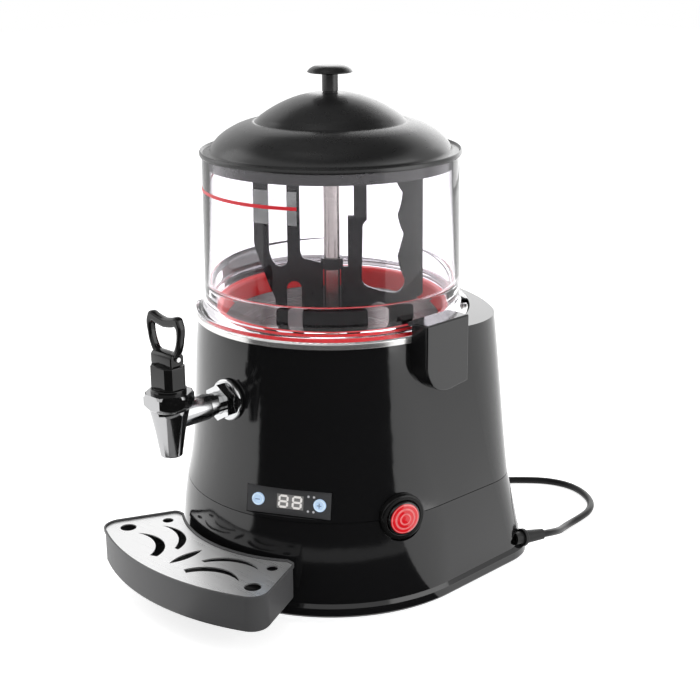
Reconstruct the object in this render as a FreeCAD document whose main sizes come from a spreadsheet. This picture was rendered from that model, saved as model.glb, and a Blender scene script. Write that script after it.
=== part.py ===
import FreeCAD, Part
import math
import os
import Sketcher
from FreeCAD import Placement, Rotation, Vector

# Countertop dispenser for hot chocolate: a moulded housing with a steel pot on top, a clear
# bowl held by two side lugs, a driven paddle, a self-closing tap and a hooked-on drip tray.
# Every piece is drawn round the upright axis of the bowl (x = y = 0, front towards -Y), and its
# Placement then moves that axis to bowl_axis_y, so that the origin is below the middle.

doc = FreeCAD.newDocument("ChocolateDispenser")
sheet = doc.addObject("Spreadsheet::Sheet", "dims")

dimensions = [
    # where things stand
    ("bowl_axis_y", 27.3), ("foot_height", 8), ("lip_bottom", 6), ("lip_overhang", 3),
    ("wall", 3), ("seam_gap", 0.6), ("edge_gap", 0.4),
    # housing outlines: height, front radius, half width, reach to the back, corner and back radii
    ("skirt_height", 6), ("skirt_front", 142.8), ("skirt_side", 143), ("skirt_back", 163),
    ("skirt_corner", 44), ("skirt_rear", 255),
    ("hip_height", 58), ("hip_front", 142.3), ("hip_side", 142.6), ("hip_back", 151),
    ("hip_corner", 46), ("hip_rear", 235),
    ("seam_height", 92), ("seam_front", 137.6), ("seam_side", 139.6), ("seam_back", 146),
    ("seam_corner", 50), ("seam_rear", 215),
    ("waist_height", 115), ("waist_front", 133), ("waist_side", 139.2), ("waist_back", 144.5),
    ("waist_corner", 52), ("waist_rear", 205),
    ("chest_height", 170), ("chest_front", 128), ("chest_side", 139.2), ("chest_back", 139),
    ("chest_corner", 56), ("chest_rear", 195),
    ("shelf_height", 250), ("shelf_front", 121.8), ("shelf_side", 139.6), ("shelf_back", 128),
    ("shelf_corner", 60), ("shelf_rear", 190),
    # lugs that hold the bowl down
    ("front_top", 243), ("lug_top", 261), ("lug_under", 258.2), ("lug_inner", 117.4),
    ("lug_outer", 140), ("lug_half", 27), ("lug_foot", 199), ("collar_room", 125.3),
    # pot, gasket, bowl
    ("pot_inner", 104), ("pot_sheet", 1.2), ("pot_floor", 172), ("pot_rim", 124.3),
    ("rim_top", 248.8), ("tube_bore", 9),
    ("bowl_foot", 249.3), ("bowl_top", 388.4), ("bowl_low_radius", 115.8),
    ("bowl_high_radius", 114.4), ("bowl_wall", 3), ("collar_radius", 124.2), ("collar_top", 257.4),
    ("notch_turn", 30), ("notch_reach", 117.6),
    # lid
    ("lid_radius", 116.3), ("lid_sheet", 2.2), ("lid_skirt", 378.6), ("knob_radius", 20),
    ("knob_top", 465), ("dome_top", 441.4),
    # paddle and drive
    ("paddle_turn", 45), ("paddle_sheet", 4), ("tube_radius", 7.4), ("tube_wall", 1),
    ("tube_foot", 175), ("tube_top", 370), ("shaft_radius", 4), ("running_gap", 0.05),
    ("paddle_top", 366), ("paddle_foot", 175.5),
    # control panel in its hooded recess
    ("panel_azimuth", 27.7), ("panel_tilt", 9.7), ("panel_distance", 127.6), ("panel_height", 106.2),
    ("panel_width", 77), ("panel_tall", 24.6), ("overlay_sheet", 1.8),
    ("button_radius", 5.6), ("button_place", 28), ("button_travel", 1),
    # power switch on the seam
    ("switch_azimuth", 70.5), ("switch_distance", 134.4), ("bezel_radius", 21),
    ("switch_radius", 15.2), ("switch_travel", 2.5),
    # tap
    ("tap_reach", 192), ("tap_height", 189), ("seat_height", 177), ("chamber_radius", 10.4),
    ("tap_spout", 156), ("tap_head_foot", 198.6),
    ("tap_head_top", 212.6), ("tap_head_flats", 37), ("shank_radius", 10), ("bonnet_radius", 15.5),
    ("bonnet_top", 236), ("pivot_height", 243), ("loop_top", 283), ("stem_radius", 3),
    ("cam_rest", 6.7), ("tap_lift", 4.5), ("full_tilt", 50),
    # drip tray
    ("tray_rim", 60), ("tray_foot", 27), ("tray_wall", 3), ("tray_front", 221),
    ("tray_front_radius", 221), ("tray_splay", 24.7), ("tray_rear_half", 80.4),
    ("tray_back", 127), ("tray_nest", 149.5), ("tray_nest_radius", 122), ("tray_corner", 17),
    ("hook_place", 44),
    # mains lead
    ("cord_radius", 3.5), ("coil_radius", 40), ("coil_x", 85), ("coil_y", 228),
]


class Size:
    """A length that knows its value in mm and the expression that binds it to the sheet."""

    def __init__(self, value, text):
        self.value = value
        self.text = text

    def __add__(self, other):
        return Size(self.value + number(other), f"({self.text} + {wording(other)})")

    def __radd__(self, other):
        return Size(number(other) + self.value, f"({wording(other)} + {self.text})")

    def __sub__(self, other):
        return Size(self.value - number(other), f"({self.text} - {wording(other)})")

    def __rsub__(self, other):
        return Size(number(other) - self.value, f"({wording(other)} - {self.text})")

    def __mul__(self, other):
        return Size(self.value * number(other), f"({self.text} * {wording(other)})")

    def __rmul__(self, other):
        return self * other

    def __truediv__(self, other):
        return Size(self.value / number(other), f"({self.text} / {wording(other)})")

    def __neg__(self):
        return Size(-self.value, f"(0 - {self.text})")


def number(length):
    return length.value if isinstance(length, Size) else float(length)


def wording(length):
    return length.text if isinstance(length, Size) else str(length)


for row, (alias, value) in enumerate(dimensions, start=1):
    sheet.set(f"A{row}", alias)
    sheet.set(f"B{row}", str(value))
    sheet.setAlias(f"B{row}", alias)
doc.recompute()
known = {alias: Size(float(value), f"dims.{alias}") for alias, value in dimensions}


def size(alias):
    return known[alias]


def bind(thing, name, length):
    """Give a property its value, and its expression where the length comes from the sheet."""
    if isinstance(length, Size):
        thing.setExpression(name, length.text)
    elif "." not in name:
        setattr(thing, name, length)


final = {}


def place(thing, label, x=0, y=0, z=0, turn=None):
    """Name a finished sub-part and set it down: x, y, z are measured from the bowl's axis."""
    thing.Label = label
    aside = size("bowl_axis_y") + y
    thing.Placement = Placement(Vector(number(x), number(aside), number(z)), turn or Rotation())
    for axis, length in (("x", x), ("y", aside), ("z", z)):
        bind(thing, f"Placement.Base.{axis}", length)
    final[label] = thing
    return thing


# ---------------------------------------------------------------- sketches

def new_body(name):
    return doc.addObject("PartDesign::Body", name)


def new_sketch(body, role="XZ_Plane", lift=0, offset=None):
    """A sketch on one of the body's own planes, lifted along the plane's normal."""
    sketch = body.newObject("Sketcher::SketchObject", body.Name + "_sketch")
    plane = [part for part in body.Origin.OriginFeatures if part.Role == role][0]
    sketch.AttachmentSupport = [(plane, "")]
    sketch.MapMode = "FlatFace"
    sketch.AttachmentOffset = offset or Placement(Vector(0, 0, number(lift)), Rotation())
    if offset is None and isinstance(lift, Size):
        sketch.setExpression("AttachmentOffset.Base.z", lift.text)
    return sketch


def hold(sketch, kind, places, length):
    """Add one measured constraint, bound to the sheet where its length is."""
    index = sketch.addConstraint(Sketcher.Constraint(kind, *places, number(length)))
    if isinstance(length, Size):
        sketch.setExpression(f"Constraints[{index}]", length.text)


def pin(sketch, edge, end, x, y):
    """Hold a point of an edge at x, y from the sketch's origin."""
    for kind, coordinate, axis in (("DistanceX", x, -2), ("DistanceY", y, -1)):
        value = number(coordinate)
        if abs(value) < 1e-9:
            sketch.addConstraint(Sketcher.Constraint("PointOnObject", edge, end, axis))
        elif value > 0:
            hold(sketch, kind, (-1, 1, edge, end), coordinate)
        else:
            hold(sketch, kind, (edge, end, -1, 1), -coordinate)


def draw(sketch, corners):
    """Draw a closed outline. A corner is (x, y), or (x, y, (via_x, via_y)) before an arc."""
    points = [Vector(number(corner[0]), number(corner[1]), 0) for corner in corners]
    edges = []
    for index, corner in enumerate(corners):
        start = points[index]
        end = points[(index + 1) % len(points)]
        if len(corner) == 3:
            via = Vector(number(corner[2][0]), number(corner[2][1]), 0)
            curve = Part.Arc(start, via, end)
        else:
            curve = Part.LineSegment(start, end)
        edge = sketch.addGeometry(curve)
        forward = sketch.getPoint(edge, 1).distanceToPoint(start) < 1e-6
        edges.append((edge, 1 if forward else 2, 2 if forward else 1))
        if len(corner) == 3:
            sketch.addConstraint(Sketcher.Constraint("Radius", edge, sketch.Geometry[edge].Radius))
    for index, (edge, start, end) in enumerate(edges):
        follower, follower_start, _ = edges[(index + 1) % len(edges)]
        sketch.addConstraint(Sketcher.Constraint("Coincident", edge, end, follower, follower_start))
        pin(sketch, edge, start, corners[index][0], corners[index][1])


def ring(sketch, x, y, radius):
    """Draw a circle held by its centre and radius."""
    circle = Part.Circle(Vector(number(x), number(y), 0), Vector(0, 0, 1), number(radius))
    edge = sketch.addGeometry(circle)
    hold(sketch, "Radius", (edge,), radius)
    pin(sketch, edge, 3, x, y)


def box_corners(left, right, low, high):
    return [(left, low), (right, low), (right, high), (left, high)]


# ---------------------------------------------------------------- features

def feature(body, kind, sketch, length, reverse=False, middle=False, taper=0):
    """Pad or Pocket of a sketch."""
    step = body.newObject(f"PartDesign::{kind}", body.Name + "_" + kind.lower())
    step.Profile = sketch
    step.Reversed = reverse
    step.SideType = "Symmetric" if middle else "One side"
    step.TaperAngle = taper
    step.Refine = False
    bind(step, "Length", length)
    sketch.Visibility = False
    return step


def pad(body, sketch, length, **ways):
    return feature(body, "Pad", sketch, length, **ways)


def pocket(body, sketch, length, **ways):
    """Cut away, and make sure that the cut did reach the material."""
    doc.recompute()
    before = body.Shape.Volume
    step = feature(body, "Pocket", sketch, length, **ways)
    doc.recompute()
    if body.Shape.Volume > before - 1e-3:
        raise RuntimeError(body.Name + ": a pocket cut nothing")
    return step


def spin(body, corners, kind="Revolution"):
    """Revolve a profile in the XZ plane about the upright axis."""
    sketch = new_sketch(body)
    draw(sketch, corners)
    step = body.newObject(f"PartDesign::{kind}", body.Name + "_" + kind.lower())
    step.Profile = sketch
    step.ReferenceAxis = (sketch, ["V_Axis"])
    step.Angle = 360
    step.Refine = False
    sketch.Visibility = False
    return step


def turned(name, corners):
    """A piece turned from one profile."""
    body = new_body(name)
    spin(body, corners)
    return body


def plate(name, corners, height, thick, holes=()):
    """A flat sheet at a height, with round holes given as (x, y, radius)."""
    body = new_body(name)
    sketch = new_sketch(body, "XY_Plane", height)
    draw(sketch, corners)
    for x, y, radius in holes:
        ring(sketch, x, y, radius)
    pad(body, sketch, thick)
    return body


def soften(body, edges_wanted, radius, kind="Fillet"):
    """Round or chamfer the edges of the last feature that the test picks."""
    doc.recompute()
    base = body.Tip
    names = [f"Edge{index}" for index, edge in enumerate(base.Shape.Edges, start=1)
             if edges_wanted(edge)]
    if not names:
        raise RuntimeError(body.Name + ": no edge to soften")
    step = body.newObject(f"PartDesign::{kind}", body.Name + "_" + kind.lower())
    step.Base = (base, names)
    if kind == "Fillet":
        bind(step, "Radius", radius)
    else:
        bind(step, "Size", radius)
    return step


def upright(edge):
    """True for a straight edge parallel to the Z axis."""
    if len(edge.Vertexes) != 2 or edge.Curve.TypeId != "Part::GeomLine":
        return False
    direction = (edge.Vertexes[1].Point - edge.Vertexes[0].Point).normalize()
    return abs(abs(direction.z) - 1) < 1e-6


def flat_at(height):
    """A test for edges that lie all at one height."""
    def test(edge):
        box = edge.BoundBox
        return abs(box.ZMin - number(height)) < 1e-4 and abs(box.ZMax - number(height)) < 1e-4
    return test


# ---------------------------------------------------------------- booleans

def fused(name, shapes):
    join = doc.addObject("Part::MultiFuse", name)
    join.Shapes = shapes
    return join


def minus(name, base, tools):
    """The base without its tools."""
    cut = doc.addObject("Part::Cut", name)
    cut.Base = base
    cut.Tool = tools[0] if len(tools) == 1 else fused(name + "_tools", tools)
    return cut


def rod(name, radius, length, x=0, y=0, z=0, turn=None):
    """A cylinder from a point along the turned Z axis."""
    cylinder = doc.addObject("Part::Cylinder", name)
    bind(cylinder, "Radius", radius)
    bind(cylinder, "Height", length)
    cylinder.Placement = Placement(Vector(number(x), number(y), number(z)), turn or Rotation())
    for axis, coordinate in (("x", x), ("y", y), ("z", z)):
        bind(cylinder, f"Placement.Base.{axis}", coordinate)
    return cylinder


def block(name, width, depth, tall, x=0, y=0, z=0):
    """A box from its lowest corner."""
    box = doc.addObject("Part::Box", name)
    bind(box, "Length", width)
    bind(box, "Width", depth)
    bind(box, "Height", tall)
    box.Placement = Placement(Vector(number(x), number(y), number(z)), Rotation())
    for axis, coordinate in (("x", x), ("y", y), ("z", z)):
        bind(box, f"Placement.Base.{axis}", coordinate)
    return box


def group(name, label, solids, **where):
    """Several like solids kept as one sub-part."""
    compound = doc.addObject("Part::Compound", name)
    compound.Links = solids
    return place(compound, label, **where)


forward = Rotation(Vector(1, 0, 0), 90)      # Z axis turned to point out of the front


def from_front(azimuth):
    """Z axis pointing level and outwards at an azimuth measured from the front."""
    return Rotation(Vector(0, 0, 1), azimuth) * forward


def round_the_bowl(radius, azimuth):
    """x and y of a point at an azimuth measured from the front."""
    angle = math.radians(azimuth)
    return number(radius) * math.sin(angle), -number(radius) * math.cos(angle)


# ---------------------------------------------------------------- housings

def housing_section(body, level, inset=0, height=None):
    """Outline of the housing at one level: a front arc about the bowl's axis, two flat flanks
    that touch it, two round back corners and a slightly bowed back."""
    front = size(level + "_front") - inset
    side = size(level + "_side") - inset
    corner = size(level + "_corner") - inset
    rear = size(level + "_rear") - inset
    drop = size(level + "_rear") - size(level + "_back")
    x = number(side - corner)
    spread = number(rear - corner)
    bow = math.asin(x / spread)
    y = spread * math.cos(bow) - number(drop)
    lean = math.acos(number(front - corner) / math.hypot(x, y)) - math.atan2(y, x)
    out = Vector(math.cos(lean), -math.sin(lean), 0)
    touch = out * number(front)
    shoulder = Vector(x, y, 0) + out * number(corner)
    up = Vector(0, 0, 1)

    def arc(cx, cy, radius, start, end):
        circle = Part.Circle(Vector(cx, cy, 0), up, number(radius))
        return Part.ArcOfCircle(circle, start, end)

    def line(first, last):
        return Part.LineSegment(first, last)

    def mirrored(point):
        return Vector(-point.x, point.y, 0)

    quarter = math.pi / 2
    sketch = new_sketch(body, "XY_Plane", size(level + "_height") if height is None else height)
    sketch.addGeometry([
        arc(0, 0, front, math.pi + lean, 2 * math.pi - lean),
        line(touch, shoulder),
        arc(x, y, corner, -lean, quarter - bow),
        arc(0, -number(drop), rear, quarter - bow, quarter + bow),
        arc(-x, y, corner, quarter + bow, math.pi + lean),
        line(mirrored(shoulder), mirrored(touch)),
    ], False)
    for edge in range(6):
        sketch.addConstraint(Sketcher.Constraint("Tangent", edge, 2, (edge + 1) % 6, 1))
    sketch.addConstraint(Sketcher.Constraint("Coincident", 0, 3, -1, 1))
    sketch.addConstraint(Sketcher.Constraint("PointOnObject", 3, 3, -2))
    for edge, radius in ((0, front), (2, corner), (3, rear), (4, corner)):
        hold(sketch, "Radius", (edge,), radius)
    hold(sketch, "DistanceX", (-1, 1, 2, 3), side - corner)
    hold(sketch, "DistanceX", (4, 3, -1, 1), side - corner)
    hold(sketch, "DistanceY", (3, 3, -1, 1), drop)
    return sketch


def housing_loft(name, sections, straight=False):
    """Solid through several outlines, each given as (level, inset, height)."""
    body = new_body(name)
    sketches = [housing_section(body, *section) for section in sections]
    loft = body.newObject("PartDesign::AdditiveLoft", name + "_loft")
    loft.Profile = sketches[0]
    loft.Sections = sketches[1:]
    loft.Ruled = straight
    loft.Refine = False
    doc.recompute()
    return body


def lug(side):
    """One of the two brackets that hold the bowl's collar down."""
    half = size("lug_half")
    top = size("lug_top")
    foot = size("lug_foot")
    body = new_body(f"lug_{side + 1}")
    sketch = new_sketch(body, "YZ_Plane", size("lug_inner") * side)
    draw(sketch, [
        (-half, top),
        (-half, foot + 24, (-half + 8, foot + 8)),
        (half * 0.3, foot),
        (half, foot + 2),
        (half, top),
    ])
    pad(body, sketch, size("lug_outer") - size("lug_inner"), reverse=side < 0)
    face = number(size("lug_outer"))

    def outer_edge(edge):
        box = edge.BoundBox
        on_face = abs(max(abs(box.XMin), abs(box.XMax)) - face) < 1e-4
        return on_face and (box.ZMin > number(top) - 1e-3 or box.XLength < 1e-3)

    soften(body, outer_edge, 1.6)
    return body


def panel_frame():
    """Placement of the control panel: its X runs along the panel and its Z points out."""
    azimuth = number(size("panel_azimuth"))
    x, y = round_the_bowl(size("panel_distance"), azimuth)
    turn = Rotation(Vector(0, 0, 1), azimuth) * forward
    tilt = Rotation(Vector(1, 0, 0), -number(size("panel_tilt")))
    return Placement(Vector(x, y, number(size("panel_height"))), turn * tilt)


def panel_block(name, width, tall, depth, inward=0, shift=(0, 0)):
    """A box on the panel's plane, centred there, from inward behind it to depth before it."""
    box = block(name, width, tall, depth)
    corner = Vector(shift[0] - number(width) / 2, shift[1] - number(tall) / 2, -number(inward))
    box.Placement = panel_frame() * Placement(corner, Rotation())
    return box


def panel_rod(name, radius, length, x, y=0, start=0):
    """A cylinder that stands on the panel's plane."""
    cylinder = rod(name, radius, length)
    cylinder.Placement = panel_frame() * Placement(Vector(number(x), y, start), Rotation())
    return cylinder


def switch_rod(name, radius, length, start=0):
    """A cylinder on the power switch's axis, from start along it."""
    azimuth = number(size("switch_azimuth"))
    x, y = round_the_bowl(size("switch_distance") + start, azimuth)
    return rod(name, radius, length, x, y, size("seam_height"), from_front(azimuth))


rib_places = [(106, -62), (-106, -62), (104, 100), (-104, 100)]
foot_inward = 0.86      # the feet stand this share of the way out to the ribs


def ribs(name, low, high):
    """Upright ribs that stand against the wall and take the screws."""
    solids = []
    for index, (x, y) in enumerate(rib_places):
        rib = block(f"{name}_{index}", 60, 14, high - low, -7, -7, low)
        turn = Rotation(Vector(0, 0, 1), math.degrees(math.atan2(y, x)))
        rib.Placement = Placement(Vector(x, y, 0), turn) * rib.Placement
        solids.append(rib)
    return solids


def upper_housing():
    """Moulded body from the seam to the shelf round the bowl, with lugs and panel recess."""
    gap = size("seam_gap") / 2
    shell = housing_loft("upper_shell", [("seam", 0, size("seam_height") + gap), ("waist",),
                                         ("chest",), ("shelf",)])
    skin = fused("upper_skin", [shell, lug(1), lug(-1)])
    low = size("front_top")
    collar = rod("collar_room", size("collar_room"), size("lug_under") - low, z=low)
    opening = rod("pot_opening", size("pot_inner") + 8.8, 40, z=low - 15)

    wall = size("wall")
    hollow = housing_loft("upper_hollow", [("seam", wall, size("seam_height") - 1),
                                           ("waist", wall), ("chest", wall),
                                           ("shelf", wall, size("front_top") - wall)])
    pod = panel_block("panel_pod", 84, 30.5, 30, inward=3)
    swell = switch_rod("switch_swell_upper", 25, 12, start=-3)
    room_inside = minus("upper_room", hollow, [pod, swell] + ribs("upper_rib", 91, 130))

    tall = size("panel_tall")
    recess = panel_block("panel_recess", size("panel_width"), tall, 20)
    window = panel_block("panel_window", 48, 15.4, 10, inward=8)
    keyholes = [panel_rod(f"keyhole_{side}", 3.2, 10, size("button_place") * side, start=-8)
                for side in (-1, 1)]
    face = switch_rod("switch_face_upper", size("bezel_radius") + 0.5, 20)
    bore = switch_rod("switch_bore_upper", 14.6, 40, start=-20)
    shank = rod("shank_hole", size("shank_radius") + 0.4, 60, 0, -100, size("tap_height"), forward)
    bores = [rod(f"upper_screw_bore_{index}", 1.9, 30, x, y, 90)
             for index, (x, y) in enumerate(rib_places)]
    cut = minus("upper_housing", skin, [room_inside, collar, opening, recess, window, face, bore,
                                        shank] + keyholes + bores)
    place(cut, "upper_housing")


def rear_region(name, margin, low, high):
    """Wedge behind the machine that the vent cover fills, seen from above."""
    reach = 139 - margin
    body = new_body(name)
    sketch = new_sketch(body, "XY_Plane", low)
    draw(sketch, [(-reach + 3, 110), (0, 60), (reach - 3, 110), (reach + 30, 190),
                  (-reach - 30, 190)])
    pad(body, sketch, high - low)
    return body


def base_housing():
    """Moulded skirt from the foot lip to the seam."""
    gap = size("seam_gap") / 2
    wall = size("wall")
    top = size("seam_height") - gap
    shell = housing_loft("base_shell", [("skirt",), ("hip",), ("seam", 0, top)])
    over = size("lip_overhang")
    low = size("lip_bottom")
    lip = housing_loft("base_lip", [("skirt", -over * 0.5, low), ("skirt", -over, low + 2),
                                    ("skirt", -over, low + 9), ("skirt", 0.2, low + 13.5)],
                       straight=True)
    skin = fused("base_skin", [shell, lip])
    hollow = housing_loft("base_hollow", [("skirt", wall, low - 1), ("hip", wall),
                                          ("seam", wall, top + 1)])
    swell = switch_rod("switch_swell_base", 25, 12, start=-3)
    hook_pods = [block(f"hook_pod_{side}", 20, 18, 16, side * 44 - 10, -139, 38)
                 for side in (-1, 1)]
    room_inside = minus("base_room", hollow, [swell] + ribs("base_rib", 9.6, 93) + hook_pods)

    slots = [block(f"hook_slot_{side}", 12.6, 36, 8.6, side * 44 - 6.3, -160, 41.7)
             for side in (-1, 1)]
    face = switch_rod("switch_face_base", size("bezel_radius") + 0.5, 20)
    bore = switch_rod("switch_bore_base", 14.6, 40, start=-20)
    rebate = minus("rear_rebate", rear_region("rear_field", 0, 33.6, 68),
                   [housing_loft("rebate_core", [("skirt", 1.5), ("hip", 1.5),
                                                 ("seam", 1.5, top)])])
    vent = doc.addObject("Part::Common", "rear_opening")
    vent.Base = rear_region("rear_gap", 12, 39, 63)
    vent.Tool = block("rear_gap_block", 400, 200, 60, -200, 60, 20)
    bores = []
    for index, (x, y) in enumerate(rib_places):
        bores.append(rod(f"base_access_{index}", 4.4, 66, x, y, 8))
        bores.append(rod(f"base_screw_bore_{index}", 2.3, 40, x, y, 60))
    inlet = rod("lead_hole", 6.2, 40, turn=lead_turn())
    inlet.Placement.Base = lead_exit(-20)
    cut = minus("base_housing", skin, [room_inside, face, bore, rebate, vent, inlet]
                + slots + bores)
    place(cut, "base_housing")


def vent_cover():
    """Sheet cover in the back's rebate, wrapped round the corners, with rows of vent slots."""
    top = size("seam_height")
    outer = housing_loft("cover_outer", [("skirt", 0.25), ("hip", 0.25), ("seam", 0.25, top)])
    inner = housing_loft("cover_inner", [("skirt", 1.3), ("hip", 1.3), ("seam", 1.3, top)])
    skin = minus("cover_skin", outer, [inner])
    sheet_piece = doc.addObject("Part::Common", "cover_sheet")
    sheet_piece.Base = skin
    sheet_piece.Tool = rear_region("cover_field", 0.4, 34, 67.6)
    slots = []
    for row in range(3):
        for column in range(-4, 5):
            slots.append(block(f"vent_{row}_{column + 4}", 14, 60, 3.2, column * 20 - 7, 120,
                               42 + row * 7.4))
    place(minus("rear_vent_cover", sheet_piece, slots), "rear_vent_cover")


def base_plate():
    """Steel floor that closes the base, with pegs for the power board."""
    body = new_body("floor_sheet")
    sketch = housing_section(body, "skirt", size("wall") + 1.5, size("foot_height"))
    for x, y in rib_places:
        ring(sketch, x, y, 5)
        ring(sketch, x * foot_inward, y * foot_inward, 2)
    ring(sketch, 0, 96, 6)
    pad(body, sketch, 1.5)
    pegs = [rod(f"board_peg_{x}_{y}", 3, 8.2, x, y, size("foot_height") + 1.2)
            for x in (-90, -46) for y in (26, 74)]
    place(fused("base_plate", [body] + pegs), "base_plate")


def feet():
    """Four rubber feet below the ribs, and the screws that hold them and the floor."""
    tall = size("foot_height")
    rubber = []
    screws = []
    for index, (x, y) in enumerate(rib_places):
        foot = turned(f"foot_{index}", [(2.4, tall * 0.4), (5, tall * 0.4), (5, 0), (9.5, 0),
                                        (10.5, 1), (11.5, tall), (2.4, tall)])
        foot.Placement.Base = Vector(x * foot_inward, y * foot_inward, 0)
        rubber.append(foot)
        screw = turned(f"foot_screw_{index}", [(0, 1.2), (3.6, 1.2), (3.6, tall * 0.4),
                                               (2, tall * 0.4), (2, tall + 5), (0, tall + 5)])
        screw.Placement.Base = Vector(x * foot_inward, y * foot_inward, 0)
        screws.append(screw)
    group("rubber_feet", "rubber_feet", rubber)
    group("foot_screws", "foot_screws", screws)


def housing_screws():
    """Long screws that draw the upper housing down on the base."""
    screws = []
    for index, (x, y) in enumerate(rib_places):
        screw = turned(f"housing_screw_{index}", [(0, 73), (4, 73), (4, 74.4), (4, 76.4), (1.8, 76.4),
                                                  (1.8, 112), (0, 112)])
        screw.Placement.Base = Vector(x, y, -2.6)
        screws.append(screw)
    group("housing_screws", "housing_screws", screws)


# ---------------------------------------------------------------- pot, bowl and lid

def steel_pot():
    """Drawn pot with a rolled rim, a raised seat for the shaft seal and the tap's hole."""
    inner = size("pot_inner")
    thin = size("pot_sheet")
    floor = size("pot_floor")
    rim = size("pot_rim")
    low = size("front_top") + 0.2
    high = size("rim_top")
    bore = size("tube_bore")
    body = turned("steel_pot", [
        (bore, floor),
        (inner - 9, floor, (inner - 2.6, floor + 2.6)),
        (inner, floor + 9),
        (inner, high - 5, (inner + 1.2, high - 1.6)),
        (inner + 4, high),
        (rim - 1.6, high, (rim - 0.4, high - 0.6)),
        (rim, high - 2),
        (rim, low),
        (rim - thin, low),
        (rim - thin, high - thin),
        (inner + 4, high - thin, (inner + thin + 0.8, high - 2.4)),
        (inner + thin, high - 5),
        (inner + thin, floor + 9, (inner - 1.8, floor + 1.8)),
        (inner - 9, floor - thin),
        (bore, floor - thin),
    ])
    hole = new_sketch(body, "XZ_Plane")
    ring(hole, 0, size("tap_height"), size("shank_radius") + 0.4)
    pocket(body, hole, 150, reverse=True)
    place(body, "steel_pot")


def bowl_gasket():
    """Red silicone ring on the pot's flange, with a skirt that hangs down inside the pot."""
    inner = size("pot_inner")
    seat = size("rim_top")
    body = turned("bowl_gasket", [
        (inner - 2.2, seat - 14),
        (inner - 0.3, seat - 14),
        (inner - 0.3, seat - 5.2, (inner + 0.9, seat - 1.3)),
        (inner + 4, seat + 0.05),
        (inner + 7.8, seat + 0.05),
        (inner + 7.8, seat + 2.6, (inner + 7.4, seat + 3.1)),
        (inner + 6.9, seat + 3.3),
        (inner + 1, seat + 3.3, (inner - 1.4, seat + 2.2)),
        (inner - 2.2, seat),
    ])
    place(body, "bowl_gasket")


def bowl():
    """Clear bowl: a slightly drawn-in wall on a collar, whose notches pass the lugs."""
    foot = size("bowl_foot")
    top = size("bowl_top")
    low = size("bowl_low_radius")
    high = size("bowl_high_radius")
    thick = size("bowl_wall")
    collar = size("collar_radius")
    crown = size("collar_top")
    body = turned("bowl", [
        (low - thick, foot),
        (collar - 1, foot, (collar - 0.3, foot + 0.3)),
        (collar, foot + 1),
        (collar, crown - 1.2, (collar - 0.4, crown - 0.4)),
        (collar - 1.2, crown),
        (low + 2.4, crown, (low + 0.7, crown + 0.7)),
        (low, crown + 2.4),
        (high, top - 1, (high - 0.3, top - 0.3)),
        (high - 1, top),
        (high - thick + 1, top, (high - thick + 0.3, top - 0.3)),
        (high - thick, top - 1),
    ])
    turn = size("notch_turn")
    for side in (1, -1):
        notch = new_sketch(body, "XY_Plane", offset=Placement(
            Vector(0, 0, number(crown) + 6), Rotation(Vector(0, 0, 1), number(turn))))
        reach = size("notch_reach") * side
        far = (collar + 6) * side
        half = size("lug_half") + 2
        draw(notch, [(reach, -half), (far, -half), (far, half), (reach, half)])
        pocket(body, notch, 20)
    place(body, "bowl")


def lid():
    """Pressed lid in two steps, with an inner skirt that drops into the bowl."""
    rim = size("lid_radius")
    rest = size("bowl_top") + 0.15
    skirt = size("lid_skirt")
    inside = size("bowl_high_radius") - size("bowl_wall") - 0.6
    thick = size("lid_sheet")
    dome = size("dome_top")
    body = turned("lid_shell", [
        (inside - thick, skirt),
        (inside, skirt),
        (inside, rest),
        (rim, rest),
        (rim, rest + 2.6, (rim - 1, rest + 6)),
        (rim - 4.6, rest + 9.6, (93.2, 410)),
        (74, 418.2, (71.6, 418.6)),
        (69.6, 416.8, (66.2, 418)),
        (63.6, 419.6, (39, 432.6)),
        (16, dome - 0.3, (9, dome)),
        (4, dome),
        (4, dome - thick),
        (15.4, dome - thick - 0.4, (38.2, 430.2)),
        (62.4, 417.4, (66.2, 415.4)),
        (69.6, 414.2, (71.8, 415.6)),
        (74, 415.6, (92.2, 407.6)),
        (rim - 6.4, rest + 8, (inside - thick + 0.4, rest + 5.6)),
        (inside - thick, rest + 2),
    ])
    place(body, "lid_shell")


def lid_knob():
    """Moulded knob: a waisted stem with a thin foot ring under a shallow cap."""
    radius = size("knob_radius")
    top = size("knob_top")
    foot = size("dome_top") + 0.05
    body = turned("lid_knob", [
        (2.6, foot),
        (10.6, foot, (11.4, foot + 0.9)),
        (10.2, foot + 1.8),
        (8.2, foot + 2.6, (6.9, foot + 7)),
        (8.4, foot + 12.4),
        (radius - 1.4, foot + 13.2, (radius - 0.2, foot + 13.8)),
        (radius, foot + 15),
        (radius, foot + 17.2, (radius - 3.4, foot + 20.6)),
        (radius - 10, top - 0.8, (7, top - 0.15)),
        (3, top),
        (0, top),
        (0, foot + 16),
        (2.6, foot + 16),
    ])
    place(body, "lid_knob")
    screw = turned("knob_screw", [
        (0, foot - 5.4), (4.4, foot - 5.4), (6.6, foot - 4), (6.6, foot - 2.5), (2.4, foot - 2.5),
        (2.4, foot + 15), (0, foot + 15),
    ])
    place(screw, "knob_screw")


# ---------------------------------------------------------------- paddle and drive

def paddle_half(name, corners):
    """One blade of the paddle, drawn in the XZ plane and as thick as its sheet."""
    body = new_body(name)
    sketch = new_sketch(body)
    draw(sketch, corners)
    pad(body, sketch, size("paddle_sheet"), middle=True)
    return body


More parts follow.
